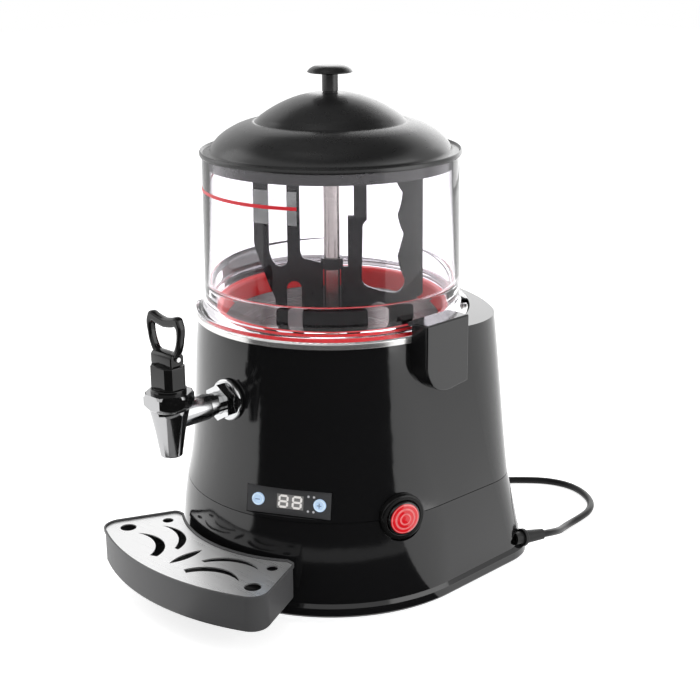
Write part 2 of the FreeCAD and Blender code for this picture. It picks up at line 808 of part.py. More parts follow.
def paddle():
    """Moulded paddle: a forked blade on one side, a wavy scraping blade on the other, joined by
    webs and a foot bar to hub sleeves that clip round the tube."""
    top = size("paddle_top")
    foot = size("paddle_foot")
    fork = paddle_half("fork_blade", [
        (-76, foot),
        (-76, foot + 6, (-73.5, foot + 9)),
        (-70, foot + 10),
        (-56, foot + 10, (-53, foot + 12)),
        (-52.4, foot + 16),
        (-52.4, 253),
        (-58.7, 267.4),
        (-68.9, 295.5, (-70.7, 302)),
        (-71, 309.4),
        (-71, top),
        (-57.3, top),
        (-57.3, 300, (-55.2, 289)),
        (-51, 283.3, (-45.4, 282)),
        (-40.6, 289),
        (-40.6, top),
        (-28.9, top),
        (-28.9, 298, (-28, 292)),
        (-25.4, 288.6),
        (-8, 284.3),
        (-8, foot + 8),
        (-28, foot + 8),
        (-28, 262, (-34.8, 268.4)),
        (-41.6, 262),
        (-41.6, foot + 8),
        (-46, foot + 8),
        (-46, foot),
    ])
    scraper = paddle_half("scraper_blade", [
        (8, foot),
        (8, 281),
        (14.6, 281),
        (14.6, 326.2),
        (20.2, 326.2),
        (20.2, top),
        (32, top),
        (32, 322.5, (28.9, 319)),
        (28.2, 314),
        (27.2, 271.5, (28.6, 266)),
        (33, 262.6),
        (44, 259),
        (57, 257.1, (63.5, 260.5)),
        (66.2, 270.3, (62.2, 280)),
        (60, 290, (63, 300)),
        (65.6, 310.3, (62.2, 318)),
        (60, 327, (63.4, 338)),
        (64.6, 347, (60, 354)),
        (57.4, top),
        (83.2, top),
        (83.2, 260, (81.8, 255.6)),
        (78, 253.6),
        (75.4, 250),
        (75.4, foot + 5, (72.4, foot + 1.4)),
        (69, foot),
    ])
    gap = blade_slot("paddle_gap", 33, 52.4, foot + 8, 249)
    hub_top = size("tube_radius") + 2.8
    ring_high = rod("hub_ring", hub_top, 9.4, 0, 0, 280)
    sleeve = rod("hub_sleeve", hub_top, 22, 0, 0, foot)
    spine = rod("hub_spine", size("tube_radius") + 1.6, 66, 0, 0, foot)
    bore = rod("hub_bore", size("tube_radius") + 0.03, 140, 0, 0, size("tube_foot") - 20)
    solid = fused("paddle_solid", [fork, scraper, ring_high, sleeve, spine])
    blade = minus("paddle", solid, [gap, bore])
    turn = Rotation(Vector(0, 0, 1), number(size("paddle_turn")))
    place(blade, "paddle", turn=turn)


def blade_slot(name, left, right, low, high):
    """A window through the blade with a round head."""
    body = new_body(name)
    sketch = new_sketch(body)
    middle = (left + right) / 2
    shoulder = high - 0.46 * (right - left)
    draw(sketch, [(left, low), (right, low), (right, shoulder, (middle, high)), (left, shoulder)])
    pad(body, sketch, 12, middle=True)
    return body


def mixer_tube():
    """Steel tube that turns the paddle, closed by a cap and pinned to the drive shaft."""
    radius = size("tube_radius")
    bore = radius - size("tube_wall")
    foot = size("tube_foot")
    top = size("tube_top")
    socket = size("shaft_radius") + 0.02
    body = turned("mixer_tube", [(socket, foot), (radius, foot), (radius, top), (bore, top),
                                 (bore, foot + 30), (socket, foot + 30)])
    place(body, "mixer_tube")
    cap = turned("mixer_cap", [
        (0, top - 6), (bore - 0.05, top - 6), (bore - 0.05, top + 0.1), (radius + 1.4, top + 0.1),
        (radius + 1.4, top + 2, (radius, top + 4.4)),
        (radius - 3, top + 5), (0, top + 5),
    ])
    place(cap, "mixer_cap")


def drive():
    """Drive shaft in its seal, the coupling below it, and the gearmotor on its bracket."""
    radius = size("shaft_radius")
    floor = size("pot_floor")
    shaft = turned("drive_shaft", [
        (0, 140), (radius, 140), (radius, floor + 34), (radius - 1, floor + 36), (0, floor + 36),
    ])
    place(shaft, "drive_shaft")
    coupling = turned("drive_coupling", [
        (radius + 0.02, 141), (9, 141), (10, 142), (10, 156), (9, 157), (radius + 0.02, 157),
    ])
    place(coupling, "drive_coupling")
    bore = size("tube_bore")
    inner = radius + size("running_gap")
    seal = turned("shaft_seal", [
        (inner, floor - 8), (13, floor - 8), (13, floor - 1.3), (bore - 0.05, floor - 1.3),
        (bore - 0.05, floor + 0.1), (12.6, floor + 0.1), (11.4, floor + 2), (inner, floor + 2),
    ])
    place(seal, "shaft_seal")

    bridge = plate("bridge", box_corners(-52, 52, -34, 34), 158.2, 2, [
        (0, 0, 15), (44, 26, 2.2), (-44, 26, 2.2), (44, -26, 2.2), (-44, -26, 2.2)])
    legs = [block(f"bracket_leg_{side}", 2, 40, 60, side * 37.2 - 1, -20, 98.4)
            for side in (-1, 1)]
    place(fused("motor_bracket", [bridge] + legs), "motor_bracket")
    pillars = [rod(f"pillar_{x}_{y}", 4, 10.4, x * 44, y * 26, 160.3)
               for x in (-1, 1) for y in (-1, 1)]
    group("pot_pillars", "pot_pillars", pillars)
    screws = []
    for x in (-1, 1):
        for y in (-1, 1):
            screw = turned(f"bracket_screw_{x + 1}{y + 1}", [
                (0, 154), (3.5, 154), (3.5, 158.1), (2.1, 158.1), (2.1, 160.2), (0, 160.2)])
            screw.Placement.Base = Vector(x * 44, y * 26, 0)
            screws.append(screw)
    group("bracket_screws", "bracket_screws", screws)

    box = plate("gearbox", box_corners(-36, 36, -30, 30), 96, 40)
    soften(box, upright, 8)
    neck = new_sketch(box, "XY_Plane", 136)
    ring(neck, 0, 0, 11)
    pad(box, neck, 4)
    place(box, "gearbox")
    motor = turned("gear_motor", [
        (0, 40), (5, 40), (5, 44), (24, 44), (27, 47), (27, 92), (24, 95.9), (0, 95.9)])
    place(motor, "gear_motor")


def heater():
    """Ring heater pressed to the pot's floor, its cut-out and the temperature probe."""
    under = size("pot_floor") - size("pot_sheet")
    body = turned("heater_ring", [
        (64, under - 8), (92, under - 8), (94, under - 6), (94, under - 0.1), (62, under - 0.1),
        (62, under - 6),
    ])
    place(body, "heater_ring")
    cutout = rod("thermal_cutout", 8, 12)
    place(cutout, "thermal_cutout", 54 - 28, 44, under - 12.1)
    probe = rod("temperature_probe", 3, 22)
    place(probe, "temperature_probe", -22, 46, under - 22.1)


# ---------------------------------------------------------------- control panel and switch

def panel_place(thing, label, x=0, y=0, z=0):
    """Set down a piece that was made in the panel's own frame."""
    frame = panel_frame() * Placement(Vector(number(x), number(y), number(z)), Rotation())
    return place(thing, label, frame.Base.x, frame.Base.y, frame.Base.z, frame.Rotation)


def control_panel():
    """Overlay, display, lamps, two sprung buttons and the board behind them."""
    width = size("panel_width") - 1
    tall = size("panel_tall") - 1
    thick = size("overlay_sheet")
    overlay = new_body("panel_overlay")
    sketch = new_sketch(overlay, "XY_Plane")
    draw(sketch, box_corners(-width / 2, width / 2, -tall / 2, tall / 2))
    for side in (-1, 1):
        ring(sketch, size("button_place") * side, 0, size("button_radius") + 0.3)
    draw(sketch, box_corners(-11.5, 13.5, -6.6, 6.6))
    for x in (17.5, 22.5):
        for y in (-6.5, 6.5):
            ring(sketch, x, y, 1.1)
    pad(overlay, sketch, thick)
    panel_place(overlay, "panel_overlay", z=0.1)

    display = new_body("digit_display")
    sketch = new_sketch(display, "XY_Plane")
    draw(sketch, box_corners(-11.2, 13.2, -6.3, 6.3))
    pad(display, sketch, 9)
    panel_place(display, "digit_display", z=-7.4)
    lamps = [rod(f"lamp_{x}_{y}", 1, 9.6, x, y * 6.5, 0) for x in (17.5, 22.5) for y in (-1, 1)]
    compound = doc.addObject("Part::Compound", "indicator_lamps")
    compound.Links = lamps
    panel_place(compound, "indicator_lamps", z=-7.6)

    radius = size("button_radius")
    for side, label in ((-1, "minus_button"), (1, "plus_button")):
        button = turned(label, [
            (0, 1.1), (radius - 0.1, 1.1), (radius, 1.3), (radius, 2.6, (radius - 0.3, 3.2)),
            (radius - 1, 3.4), (0, 3.8)])
        stem = new_sketch(button, "XY_Plane", 1.1)
        ring(stem, 0, 0, 2.4)
        pad(button, stem, 7.3, reverse=True)
        panel_place(button, label, x=size("button_place") * side)
    board = new_body("control_board")
    sketch = new_sketch(board, "XY_Plane")
    draw(sketch, box_corners(-36, 36, -11, 11))
    pad(board, sketch, 1.6)
    panel_place(board, "control_board", z=-9.4)


def switch_place(thing, label, start=0):
    """Set down a piece made about the power switch's axis."""
    azimuth = number(size("switch_azimuth"))
    x, y = round_the_bowl(size("switch_distance") + start, azimuth)
    return place(thing, label, x, y, size("seam_height"), from_front(azimuth))


def power_switch():
    """Round switch: a moulded bezel, a domed button with rings that latches in, a body behind."""
    outer = size("bezel_radius")
    button = size("switch_radius")
    bezel = turned("switch_bezel", [
        (8, 0.1), (outer, 0.1), (outer, 3.6, (outer - 0.6, 5.2)), (outer - 2.2, 5.8),
        (button + 1.6, 5.8, (button + 0.7, 5.5)), (button + 0.4, 4.6), (button + 0.4, 1.8),
        (8, 1.8),
    ])
    switch_place(bezel, "switch_bezel")
    dome = turned("power_button", [
        (0, -9), (5.4, -9), (5.4, 4.5), (button, 4.5), (button, 6.2, (button - 0.5, 7.4)),
        (button - 1.8, 8.2, (11.6, 8.9)), (9.6, 9.1), (9.2, 8.6), (8.6, 8.6), (8.2, 9.4),
        (5.4, 9.8), (5, 9.3), (4.4, 9.3), (4, 9.9), (0, 10.1),
    ])
    switch_place(dome, "power_button")
    body = turned("switch_body", [
        (6.4, -3.2), (14.2, -3.2), (14.2, -26), (12.6, -27.6), (0, -27.6), (0, -14), (6.4, -14),
    ])
    collar = new_sketch(body, "XY_Plane", -3.2)
    ring(collar, 0, 0, 14.2)
    ring(collar, 0, 0, 6.4)
    pad(body, collar, 3.2)
    switch_place(body, "switch_body")


def inside_parts():
    """Power board on its pegs, terminal block and their fixings on the floor."""
    floor = size("foot_height") + 1.6
    board = plate("board_sheet", box_corners(-96, -40, 20, 96), floor + 8, 1.6)
    relay = plate("power_relay", box_corners(-88, -66, 40, 70), floor + 9.5, 20)
    filter_coil = rod("filter_coil", 11, 15, -54, 78, floor + 9.5)
    place(fused("power_board", [board, relay, filter_coil]), "power_board")
    terminal = plate("terminal_block", box_corners(58, 92, 50, 72), floor, 16)
    place(terminal, "terminal_block")


# ---------------------------------------------------------------- tap

def tap_place(thing, label, z=0):
    return place(thing, label, 0, -size("tap_reach"), z)


def tap_body():
    """Plated tap body: a hexagon head over a tapered spout, with a side boss for the shank."""
    spout = size("tap_spout")
    head = size("tap_head_foot")
    top = size("tap_head_top")
    seat = size("seat_height")
    chamber = size("chamber_radius")
    body = turned("tap_body", [
        (7.6, spout), (8.4, spout, (9.2, spout + 0.4)), (9.4, spout + 1.4),
        (12.9, 179), (15.9, 193, (16.4, 195.2)), (16.6, head - 1), (16.6, head + 0.5),
        (chamber, head + 0.5), (chamber, seat), (7.6, seat),
    ])
    hexagon = new_sketch(body, "XY_Plane", head)
    radius = size("tap_head_flats") / math.sqrt(3)
    corners = [(radius * math.cos(math.radians(a)), radius * math.sin(math.radians(a)))
               for a in range(0, 360, 60)]
    draw(hexagon, corners)
    ring(hexagon, 0, 0, 12.6)
    pad(body, hexagon, top - head)
    boss = new_sketch(body, "XZ_Plane", -8)
    ring(boss, 0, size("tap_height"), size("shank_radius"))
    pad(body, boss, 16, reverse=True)
    clear = new_sketch(body, "XY_Plane", seat)
    ring(clear, 0, 0, chamber)
    pocket(body, clear, head - seat, reverse=True)
    way = new_sketch(body, "XZ_Plane", -5)
    ring(way, 0, size("tap_height"), 7)
    pocket(body, way, 30, reverse=False)
    tap_place(body, "tap_body")


def shank_pieces():
    """Threaded shank through housing and pot, with its washers, hexagon nut and seals."""
    height = size("tap_height")
    radius = size("shank_radius")
    reach = number(size("tap_reach"))

    def along(thing, label, start):
        """Set down a piece turned about Z so that Z runs to the front from start."""
        return place(thing, label, 0, -start, height, forward)

    outer = radius - 0.2
    shank = turned("tap_shank", [(7, 0), (13, 0), (13, 2.4), (outer, 2.6), (outer, 67.9), (7, 67.9)])
    along(shank, "tap_shank", reach - 24.1 - 67.9)
    flange = turned("tap_flange", [
        (radius, 0), (18.5, 0), (18.5, 1.2, (17.8, 2.4)), (16, 2.9), (radius + 3, 3.5),
        (radius, 3.5)])
    along(flange, "tap_flange", 128.2)
    nut = new_body("tap_nut")
    sketch = new_sketch(nut, "XY_Plane")
    hexagon = 28 / math.sqrt(3)
    draw(sketch, [(hexagon * math.cos(math.radians(a)), hexagon * math.sin(math.radians(a)))
                  for a in range(30, 390, 60)])
    ring(sketch, 0, 0, radius)
    pad(nut, sketch, 9)
    along(nut, "tap_nut", 131.8)
    cushion = rod("seal_cushion", 17, 7.5, 0, -120.6, height, forward)
    bore = rod("seal_bore", radius + 0.2, 20, 0, -115, height, forward)
    body_skin = doc.getObject("upper_shell")
    place(minus("flange_seal", cushion, [body_skin, bore]), "flange_seal")
    inner_nut = new_body("pot_nut")
    sketch = new_sketch(inner_nut, "XY_Plane")
    hexagon = 26 / math.sqrt(3)
    draw(sketch, [(hexagon * math.cos(math.radians(a)), hexagon * math.sin(math.radians(a)))
                  for a in range(30, 390, 60)])
    ring(sketch, 0, 0, radius)
    pad(inner_nut, sketch, 5)
    along(inner_nut, "pot_nut", 108)
    pot_seal = turned("pot_seal", [(radius, 0), (14, 0), (14, 2), (radius, 2)])
    along(pot_seal, "pot_seal", 105.8)


def tap_valve():
    """Bonnet, spring, plunger with its seat cup, and the loop handle on its pin."""
    top = size("tap_head_top")
    cap = size("bonnet_top")
    radius = size("bonnet_radius")
    bonnet = turned("tap_bonnet", [
        (12.4, top - 9), (12.5, top), (radius + 1.6, top + 0.1), (radius + 1.6, top + 3),
        (radius, top + 3.4), (radius, cap - 3, (radius - 0.9, cap - 0.9)), (radius - 3, cap),
        (4.6, cap), (4.6, cap - 3), (10.6, cap - 3), (10.6, top - 9),
    ])
    tap_place(bonnet, "tap_bonnet")
    stem = size("stem_radius")
    seat = size("seat_height") + 0.1
    pivot = size("pivot_height")
    plunger = turned("plunger_stem", [
        (0, seat + 4), (5, seat + 4), (5, seat + 9), (stem, seat + 10), (stem, pivot + 3.4),
        (stem - 1, pivot + 4.4), (0, pivot + 4.4),
    ])
    bore = rod("stem_hole", 2, 20, -10, 0, pivot, Rotation(Vector(0, 1, 0), 90))
    tap_place(minus("tap_plunger", plunger, [bore]), "tap_plunger")
    cup = turned("seat_cup", [
        (0, seat), (8.6, seat), (9.6, seat + 1.2), (9.6, seat + 6, (9.2, seat + 7.4)),
        (8, seat + 8), (5.05, seat + 8), (5.05, seat + 3.95), (0, seat + 3.95),
    ])
    tap_place(cup, "seat_cup")

    spring = doc.addObject("Part::Feature", "tap_spring")
    turns = 5.5
    low = number(seat) + 9
    high = number(cap) - 4
    helix = Part.makeHelix((high - low) / turns, high - low, 8.4)
    wire_circle = Part.Circle(Vector(8.4, 0, 0), Vector(0, 1, 0), 0.8).toShape()
    coil = Part.Wire(helix.Edges).makePipeShell([Part.Wire([wire_circle])], True, True)
    spring.Shape = coil
    tap_place(spring, "tap_spring", low)


def cam_heel(side):
    """Heel of the handle: its support height grows evenly with the tilt, from cam_rest by
    tap_lift at full tilt, so the pin and the stem rise in step with the handle."""
    pivot = number(size("pivot_height"))
    rest = number(size("cam_rest"))
    tilt = math.radians(number(size("full_tilt")))
    rate = number(size("tap_lift")) / tilt

    def touch(angle):
        support = rest + rate * angle
        y = -support * math.sin(angle) - rate * math.cos(angle)
        z = -support * math.cos(angle) + rate * math.sin(angle)
        return y, pivot + z

    body = new_body(f"cam_heel_{side + 1}")
    sketch = new_sketch(body, "YZ_Plane", 4.4 * side)
    draw(sketch, [
        (*touch(tilt), touch(tilt / 2)),
        touch(0),
        (4.5, pivot - rest),
        (4.5, pivot + 3),
        (-4.5, pivot + 3),
    ])
    pad(body, sketch, 6.6, reverse=side < 0)
    return body


def loop_handle():
    """Black loop with a dipped top bar, on two cheeks that stand beside the stem."""
    pivot = size("pivot_height")
    top = size("loop_top")
    body = new_body("tap_handle")
    sketch = new_sketch(body)
    draw(sketch, [
        (-16.4, pivot),
        (-25, top - 14, (-27.4, top - 6)),
        (-21, top - 1.4, (-15, top + 0.4)),
        (-9, top - 2.2, (0, top - 6)),
        (9, top - 2.2, (15, top + 0.4)),
        (21, top - 1.4, (27.4, top - 6)),
        (25, top - 14),
        (16.4, pivot),
        (16.4, pivot - 1, (10.4, pivot - 6.2)),
        (4.4, pivot - 1),
        (4.4, pivot + 8),
        (14.6, top - 17.6, (15, top - 12.6)),
        (10, top - 11.6),
        (-10, top - 11.6, (-15, top - 12.6)),
        (-14.6, top - 17.6),
        (-4.4, pivot + 8),
        (-4.4, pivot - 1, (-10.4, pivot - 6.2)),
        (-16.4, pivot - 1),
    ])
    pad(body, sketch, 9, middle=True)
    heels = [cam_heel(side) for side in (-1, 1)]
    eye = rod("pin_hole", 2.05, 40, -20, 0, pivot, Rotation(Vector(0, 1, 0), 90))
    tap_place(minus("tap_handle", fused("handle_body", [body] + heels), [eye]), "tap_handle")
    pin_rod = rod("handle_pin", 2, 31, 0, 0, 0)
    place(pin_rod, "handle_pin", -15.5, -size("tap_reach"), pivot, Rotation(Vector(0, 1, 0), 90))


# ---------------------------------------------------------------- drip tray

def tray_outline(body, height, inset=0):
    """Tray seen from above: bowed front, slanting ends, and a back that nests round the base."""
    front_radius = size("tray_front_radius") - inset
    centre_y = number(size("tray_front_radius") - size("tray_front"))
    nest_radius = size("tray_nest_radius") + inset
    nest_y = number(size("tray_nest_radius") - size("tray_nest"))
    back = size("tray_back") + inset
    splay = math.radians(number(size("tray_splay")))
    run = Vector(math.sin(splay), -math.cos(splay), 0)
    outward = Vector(math.cos(splay), math.sin(splay), 0)
    foot = Vector(number(size("tray_rear_half")), -number(size("tray_back")), 0)
    foot = foot - outward * number(inset)
    centre = Vector(0, centre_y, 0)
    reach = (foot - centre).dot(run)
    gap = (foot - centre).Length ** 2 - number(front_radius) ** 2
    front_corner = foot + run * (-reach + math.sqrt(reach ** 2 - gap))
    back_corner = foot + run * ((-number(back) - foot.y) / run.y)
    rise = -number(back) - nest_y
    nest_corner = Vector(math.sqrt(number(nest_radius) ** 2 - rise ** 2), -number(back), 0)

    def flipped(point):
        return Vector(-point.x, point.y, 0)

    sketch = new_sketch(body, "XY_Plane", height)
    sketch.addGeometry([
        Part.Arc(flipped(front_corner), Vector(0, centre_y - number(front_radius), 0), front_corner),
        Part.LineSegment(front_corner, back_corner),
        Part.LineSegment(back_corner, nest_corner),
        Part.Arc(flipped(nest_corner), Vector(0, nest_y - number(nest_radius), 0), nest_corner),
        Part.LineSegment(flipped(nest_corner), flipped(back_corner)),
        Part.LineSegment(flipped(back_corner), flipped(front_corner)),
    ], False)
    for first, end, second, start in ((0, 2, 1, 1), (1, 2, 2, 1), (2, 2, 3, 2), (3, 1, 4, 1),
                                      (4, 2, 5, 1), (5, 2, 0, 1)):
        sketch.addConstraint(Sketcher.Constraint("Coincident", first, end, second, start))
    hold(sketch, "Radius", (0,), front_radius)
    hold(sketch, "Radius", (3,), nest_radius)
    hold(sketch, "DistanceY", (3, 3, -1, 1), size("tray_nest") - size("tray_nest_radius"))
    pin(sketch, 1, 1, front_corner.x, front_corner.y)
    pin(sketch, 1, 2, back_corner.x, back_corner.y)
    sketch.addConstraint(Sketcher.Constraint("Horizontal", 2))
    sketch.addConstraint(Sketcher.Constraint("Symmetric", 1, 1, 5, 2, -2))
    sketch.addConstraint(Sketcher.Constraint("Symmetric", 1, 2, 5, 1, -2))
    sketch.addConstraint(Sketcher.Constraint("Symmetric", 2, 2, 4, 1, -2))
    return sketch


def round_corners(body, front, back):
    """Round the tray's upright corners, front ones and back ones to their own radius."""
    soften(body, lambda edge: upright(edge) and edge.Vertexes[0].Point.y < -150, front)
    soften(body, lambda edge: upright(edge) and edge.Vertexes[0].Point.y > -150
           and abs(edge.Vertexes[0].Point.x) > 72, back)


def drip_tray():
    """Moulded tray with a ledge for the plate and two hooks that hang it on the base."""
    rim = size("tray_rim")
    foot = size("tray_foot")
    wall = size("tray_wall")
    outer = new_body("tray_outer")
    pad(outer, tray_outline(outer, foot, 1.2), rim - foot - 3)
    round_corners(outer, size("tray_corner") - 1.2, 6)
    soften(outer, flat_at(foot), 2.5)
    band = new_body("tray_band")
    pad(band, tray_outline(band, rim - 3), 3)
    round_corners(band, size("tray_corner"), 7)
    ledge = new_body("tray_ledge")
    pad(ledge, tray_outline(ledge, rim - 3, 1.5), 5)
    round_corners(ledge, size("tray_corner") - 1.5, 5.6)
    basin = new_body("tray_basin")
    pad(basin, tray_outline(basin, foot + wall, 1.2 + wall), rim - foot)
    round_corners(basin, size("tray_corner") - 4.2, 3.4)
    soften(basin, flat_at(foot + wall), 2)
    hooks = []
    for side in (-1, 1):
        x = side * number(size("hook_place")) - 5.8
        hooks.append(block(f"hook_arm_{side}", 11.6, 24, 4, x, -149, 42.4))
        hooks.append(block(f"hook_tip_{side}", 11.6, 3, 7.2, x, -128, 42.4))
    shell = fused("tray_shell", [outer, band])
    hollow = minus("tray_hollow", shell, [ledge, basin])
    place(fused("drip_tray", [hollow] + hooks), "drip_tray")


def crescent(sketch, side, tip, outer, blunt_out, blunt_in, inner):
    """One crescent slot: two arcs that meet in a tip and end in a blunt edge."""
    def at(point):
        return side * point[0], point[1]

    draw(sketch, [(*at(tip), at(outer)), (*at(blunt_out),), (*at(blunt_in), at(inner))])


def drip_plate():
    """Steel plate in the tray, with a pointed slot, crescents and round holes in pairs."""
    body = new_body("drip_plate")
    height = size("tray_rim") - 2.9
    pad(body, tray_outline(body, height, 2), 1.2)
    round_corners(body, size("tray_corner") - 2, 5.2)
    holes = new_sketch(body, "XY_Plane", height)
    draw(holes, [(0, -200.4, (4.4, -182)), (0, -163.6, (-4.4, -182))])
    for side in (-1, 1):
        ring(holes, side * 85, -180, 7.3)
        ring(holes, side * 71, -145.4, 5)
        crescent(holes, side, (69.6, -181.4), (36, -177.4), (18.2, -199.2), (24.8, -202),
                 (41.8, -183.4))
        crescent(holes, side, (65.8, -156), (34, -155), (15.8, -177.9), (20.6, -178.2),
                 (37.8, -160.4))
    pocket(body, holes, 3, reverse=True)
    place(body, "drip_plate")


# ---------------------------------------------------------------- mains lead

def lead_exit(distance=0):
    """Point on the lead's first straight, counted from the housing's surface."""
    return Vector(141.5, 108.4, 24) + lead_heading() * distance


def lead_heading():
    angle = math.radians(76)
    return Vector(math.cos(angle), math.sin(angle), -0.1).normalize()


def lead_turn():
    return Rotation(Vector(0, 0, 1), lead_heading())


# Route of the lead beyond its strain relief, measured from the bowl's axis: down to the table,
# out in a wide bend and back behind the machine, where the rest is coiled.
lead_points = [
    (147.5, 134, 21), (148, 152, 17.5), (143, 169, 12), (135, 185, 6.5), (130, 203, 3.6),
    (129, 223, 3.6), (126, 244, 3.6), (114, 264, 3.6), (92, 279, 3.6), (70, 284, 3.6),
    (47, 278, 3.6), (28, 263, 3.6), (11, 246, 3.6), (-5, 224, 3.6), (-25, 205, 3.6),
    (-48, 191, 3.6), (-72, 184.6, 3.6),
]


def smooth_run(points, radius):
    """A tube along straight runs joined by tangent arcs as large as the runs allow."""
    edges = []
    start = points[0]
    for index in range(1, len(points) - 1):
        before = points[index] - points[index - 1]
        after = points[index + 1] - points[index]
        half_turn = before.getAngle(after) / 2
        shorter = min(before.Length, after.Length)
        cut_back = 0.45 * shorter
        bend = cut_back / math.tan(half_turn)
        print(f"lead: run {after.Length:.1f} mm, turn {math.degrees(2 * half_turn):.0f}, "
              f"radius {bend:.1f} mm")
        first = points[index] - before.normalize() * cut_back
        last = points[index] + after.normalize() * cut_back
        inward = (first + last) * 0.5 - points[index]
        middle_distance = bend / math.cos(half_turn) - bend
        middle = points[index] + inward.normalize() * middle_distance
        edges.append(Part.LineSegment(start, first).toShape())
        edges.append(Part.Arc(first, middle, last).toShape())
        start = last
    edges.append(Part.LineSegment(start, points[-1]).toShape())
    path = Part.Wire(edges)
    section = Part.Circle(points[0], points[1] - points[0], radius).toShape()
    tube = path.makePipeShell([Part.Wire([section])], True, False)
    expected = math.pi * radius ** 2 * path.Length
    print(f"lead: {path.Length:.0f} mm long, volume {tube.Volume / expected:.3f} of its section")
    return tube


def mains_lead():
    """Gland and strain relief in the base's corner, the lead, its coil and its plug."""
    radius = number(size("cord_radius"))
    relief = turned("strain_relief", [
        (radius + 0.02, -8), (6, -8), (6, 0.4), (8.4, 0.4), (8.4, 3, (7.8, 4)), (6.4, 4.6),
        (5, 25.8), (radius + 0.02, 25.8),
    ])
    base = lead_exit()
    place(relief, "strain_relief", base.x, base.y, base.z, lead_turn())

    tube = doc.addObject("Part::Feature", "mains_lead")
    route = [lead_exit(-6), *[Vector(*point) for point in lead_points]]
    tube.Shape = smooth_run(route, radius)
    place(tube, "mains_lead")

    middle = size("coil_radius")
    half = 2 * size("cord_radius") + 0.3
    coil = turned("lead_coil", [
        (middle - half, 3), (middle - half + 2.8, 0.1), (middle + half - 2.8, 0.1),
        (middle + half, 3), (middle + half, 11.4), (middle + half - 2.8, 14.3),
        (middle - half + 2.8, 14.3), (middle - half, 11.4)])
    place(coil, "lead_coil", -size("coil_x"), size("coil_y"), 0)

    plug = turned("mains_plug", [
        (0, 0), (4.8, 0), (6.2, 15), (11.4, 21), (17.4, 38, (18.4, 46)), (17.6, 52), (0, 52)])
    pins = new_sketch(plug, "XY_Plane", 52)
    for side in (-1, 1):
        ring(pins, side * 9.5, 0, 2.4)
    pad(plug, pins, 19)
    heading = Rotation(Vector(0, 0, 1), Vector(0, 1, 0.14))
    place(plug, "mains_plug", -size("coil_x") - size("coil_radius") - 3.6,
          size("coil_y") + 14, 12.4, heading)


# ---------------------------------------------------------------- build and write

upper_housing()
base_housing()
vent_cover()
base_plate()
feet()
housing_screws()
steel_pot()
bowl_gasket()
bowl()
lid()
lid_knob()
paddle()
mixer_tube()
drive()
heater()
control_panel()
power_switch()
inside_parts()
tap_body()
shank_pieces()
tap_valve()
loop_handle()
drip_tray()
drip_plate()
mains_lead()
doc.recompute()

failed = [thing.Name for thing in doc.Objects
          if "Invalid" in thing.State or "Error" in thing.State]
if failed:
    raise RuntimeError("failed: " + ", ".join(failed))
for label, thing in final.items():
    if thing.Shape.isNull() or not thing.Shape.isValid():
        raise RuntimeError(label + " has no valid shape")

os.makedirs("parts", exist_ok=True)
for label, thing in final.items():
    thing.Shape.exportStep(f"parts/{label}.step")
print(len(final), "sub-parts written")
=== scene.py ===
import bmesh
import bpy
import math
import numpy as np
from mathutils import Matrix, Vector


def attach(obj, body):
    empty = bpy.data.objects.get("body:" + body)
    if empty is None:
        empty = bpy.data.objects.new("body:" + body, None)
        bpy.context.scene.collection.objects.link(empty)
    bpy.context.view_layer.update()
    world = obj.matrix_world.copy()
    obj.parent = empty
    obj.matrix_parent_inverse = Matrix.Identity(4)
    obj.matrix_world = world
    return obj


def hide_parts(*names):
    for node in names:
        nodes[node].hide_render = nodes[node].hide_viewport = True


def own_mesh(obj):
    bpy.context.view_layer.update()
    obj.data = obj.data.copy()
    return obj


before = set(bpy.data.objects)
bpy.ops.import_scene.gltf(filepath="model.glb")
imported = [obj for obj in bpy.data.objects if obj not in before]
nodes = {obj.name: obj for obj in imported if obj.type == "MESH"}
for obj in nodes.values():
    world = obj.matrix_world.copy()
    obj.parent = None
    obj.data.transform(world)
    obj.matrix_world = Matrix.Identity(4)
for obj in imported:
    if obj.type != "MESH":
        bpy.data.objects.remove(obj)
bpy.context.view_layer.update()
scene = bpy.context.scene
axisY = 27.3  # mm from the origin back to the bowl's axis; the places below are in mm from that axis


def metres(x, y, z):
    return Vector((x, y + axisY, z)) / 1000


def linked(name, data):
    item = bpy.data.objects.new(name, data)
    scene.collection.objects.link(item)
    return item


def placed(item, body, slot, *stoodFor):
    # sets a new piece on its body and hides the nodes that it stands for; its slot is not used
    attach(item, body)
    if stoodFor:
        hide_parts(*stoodFor)
    return item


# camera: its place, its angles in degrees, its lens and the sensor's width in mm

camera = {
    "place": (868.4, -856.6, 584.6),
    "azimuth": 44.65,
    "elevation": 17.3,
    "roll": -0.39,
    "lens": 70.94,
    "sensor": 36,
}


def setCamera(settings):
    azimuth, elevation, roll = (math.radians(settings[k]) for k in ("azimuth", "elevation", "roll"))
    level = math.cos(elevation)
    right = Vector((math.cos(azimuth), math.sin(azimuth), 0))
    back = Vector((math.sin(azimuth) * level, -math.cos(azimuth) * level, math.sin(elevation)))
    up = back.cross(right)
    across = right * math.cos(roll) + up * math.sin(roll)
    upright = up * math.cos(roll) - right * math.sin(roll)
    data = bpy.data.cameras.new("viewCamera")
    data.lens = settings["lens"]
    data.sensor_width = settings["sensor"]
    item = linked("viewCamera", data)
    turn = Matrix((across, upright, back)).transposed().to_4x4()
    item.matrix_world = Matrix.Translation(metres(*settings["place"])) @ turn
    scene.camera = item


setCamera(camera)
print("camera set")


# mains lead: out of the housing, round behind it on the table and into a coil whose turns step in and up

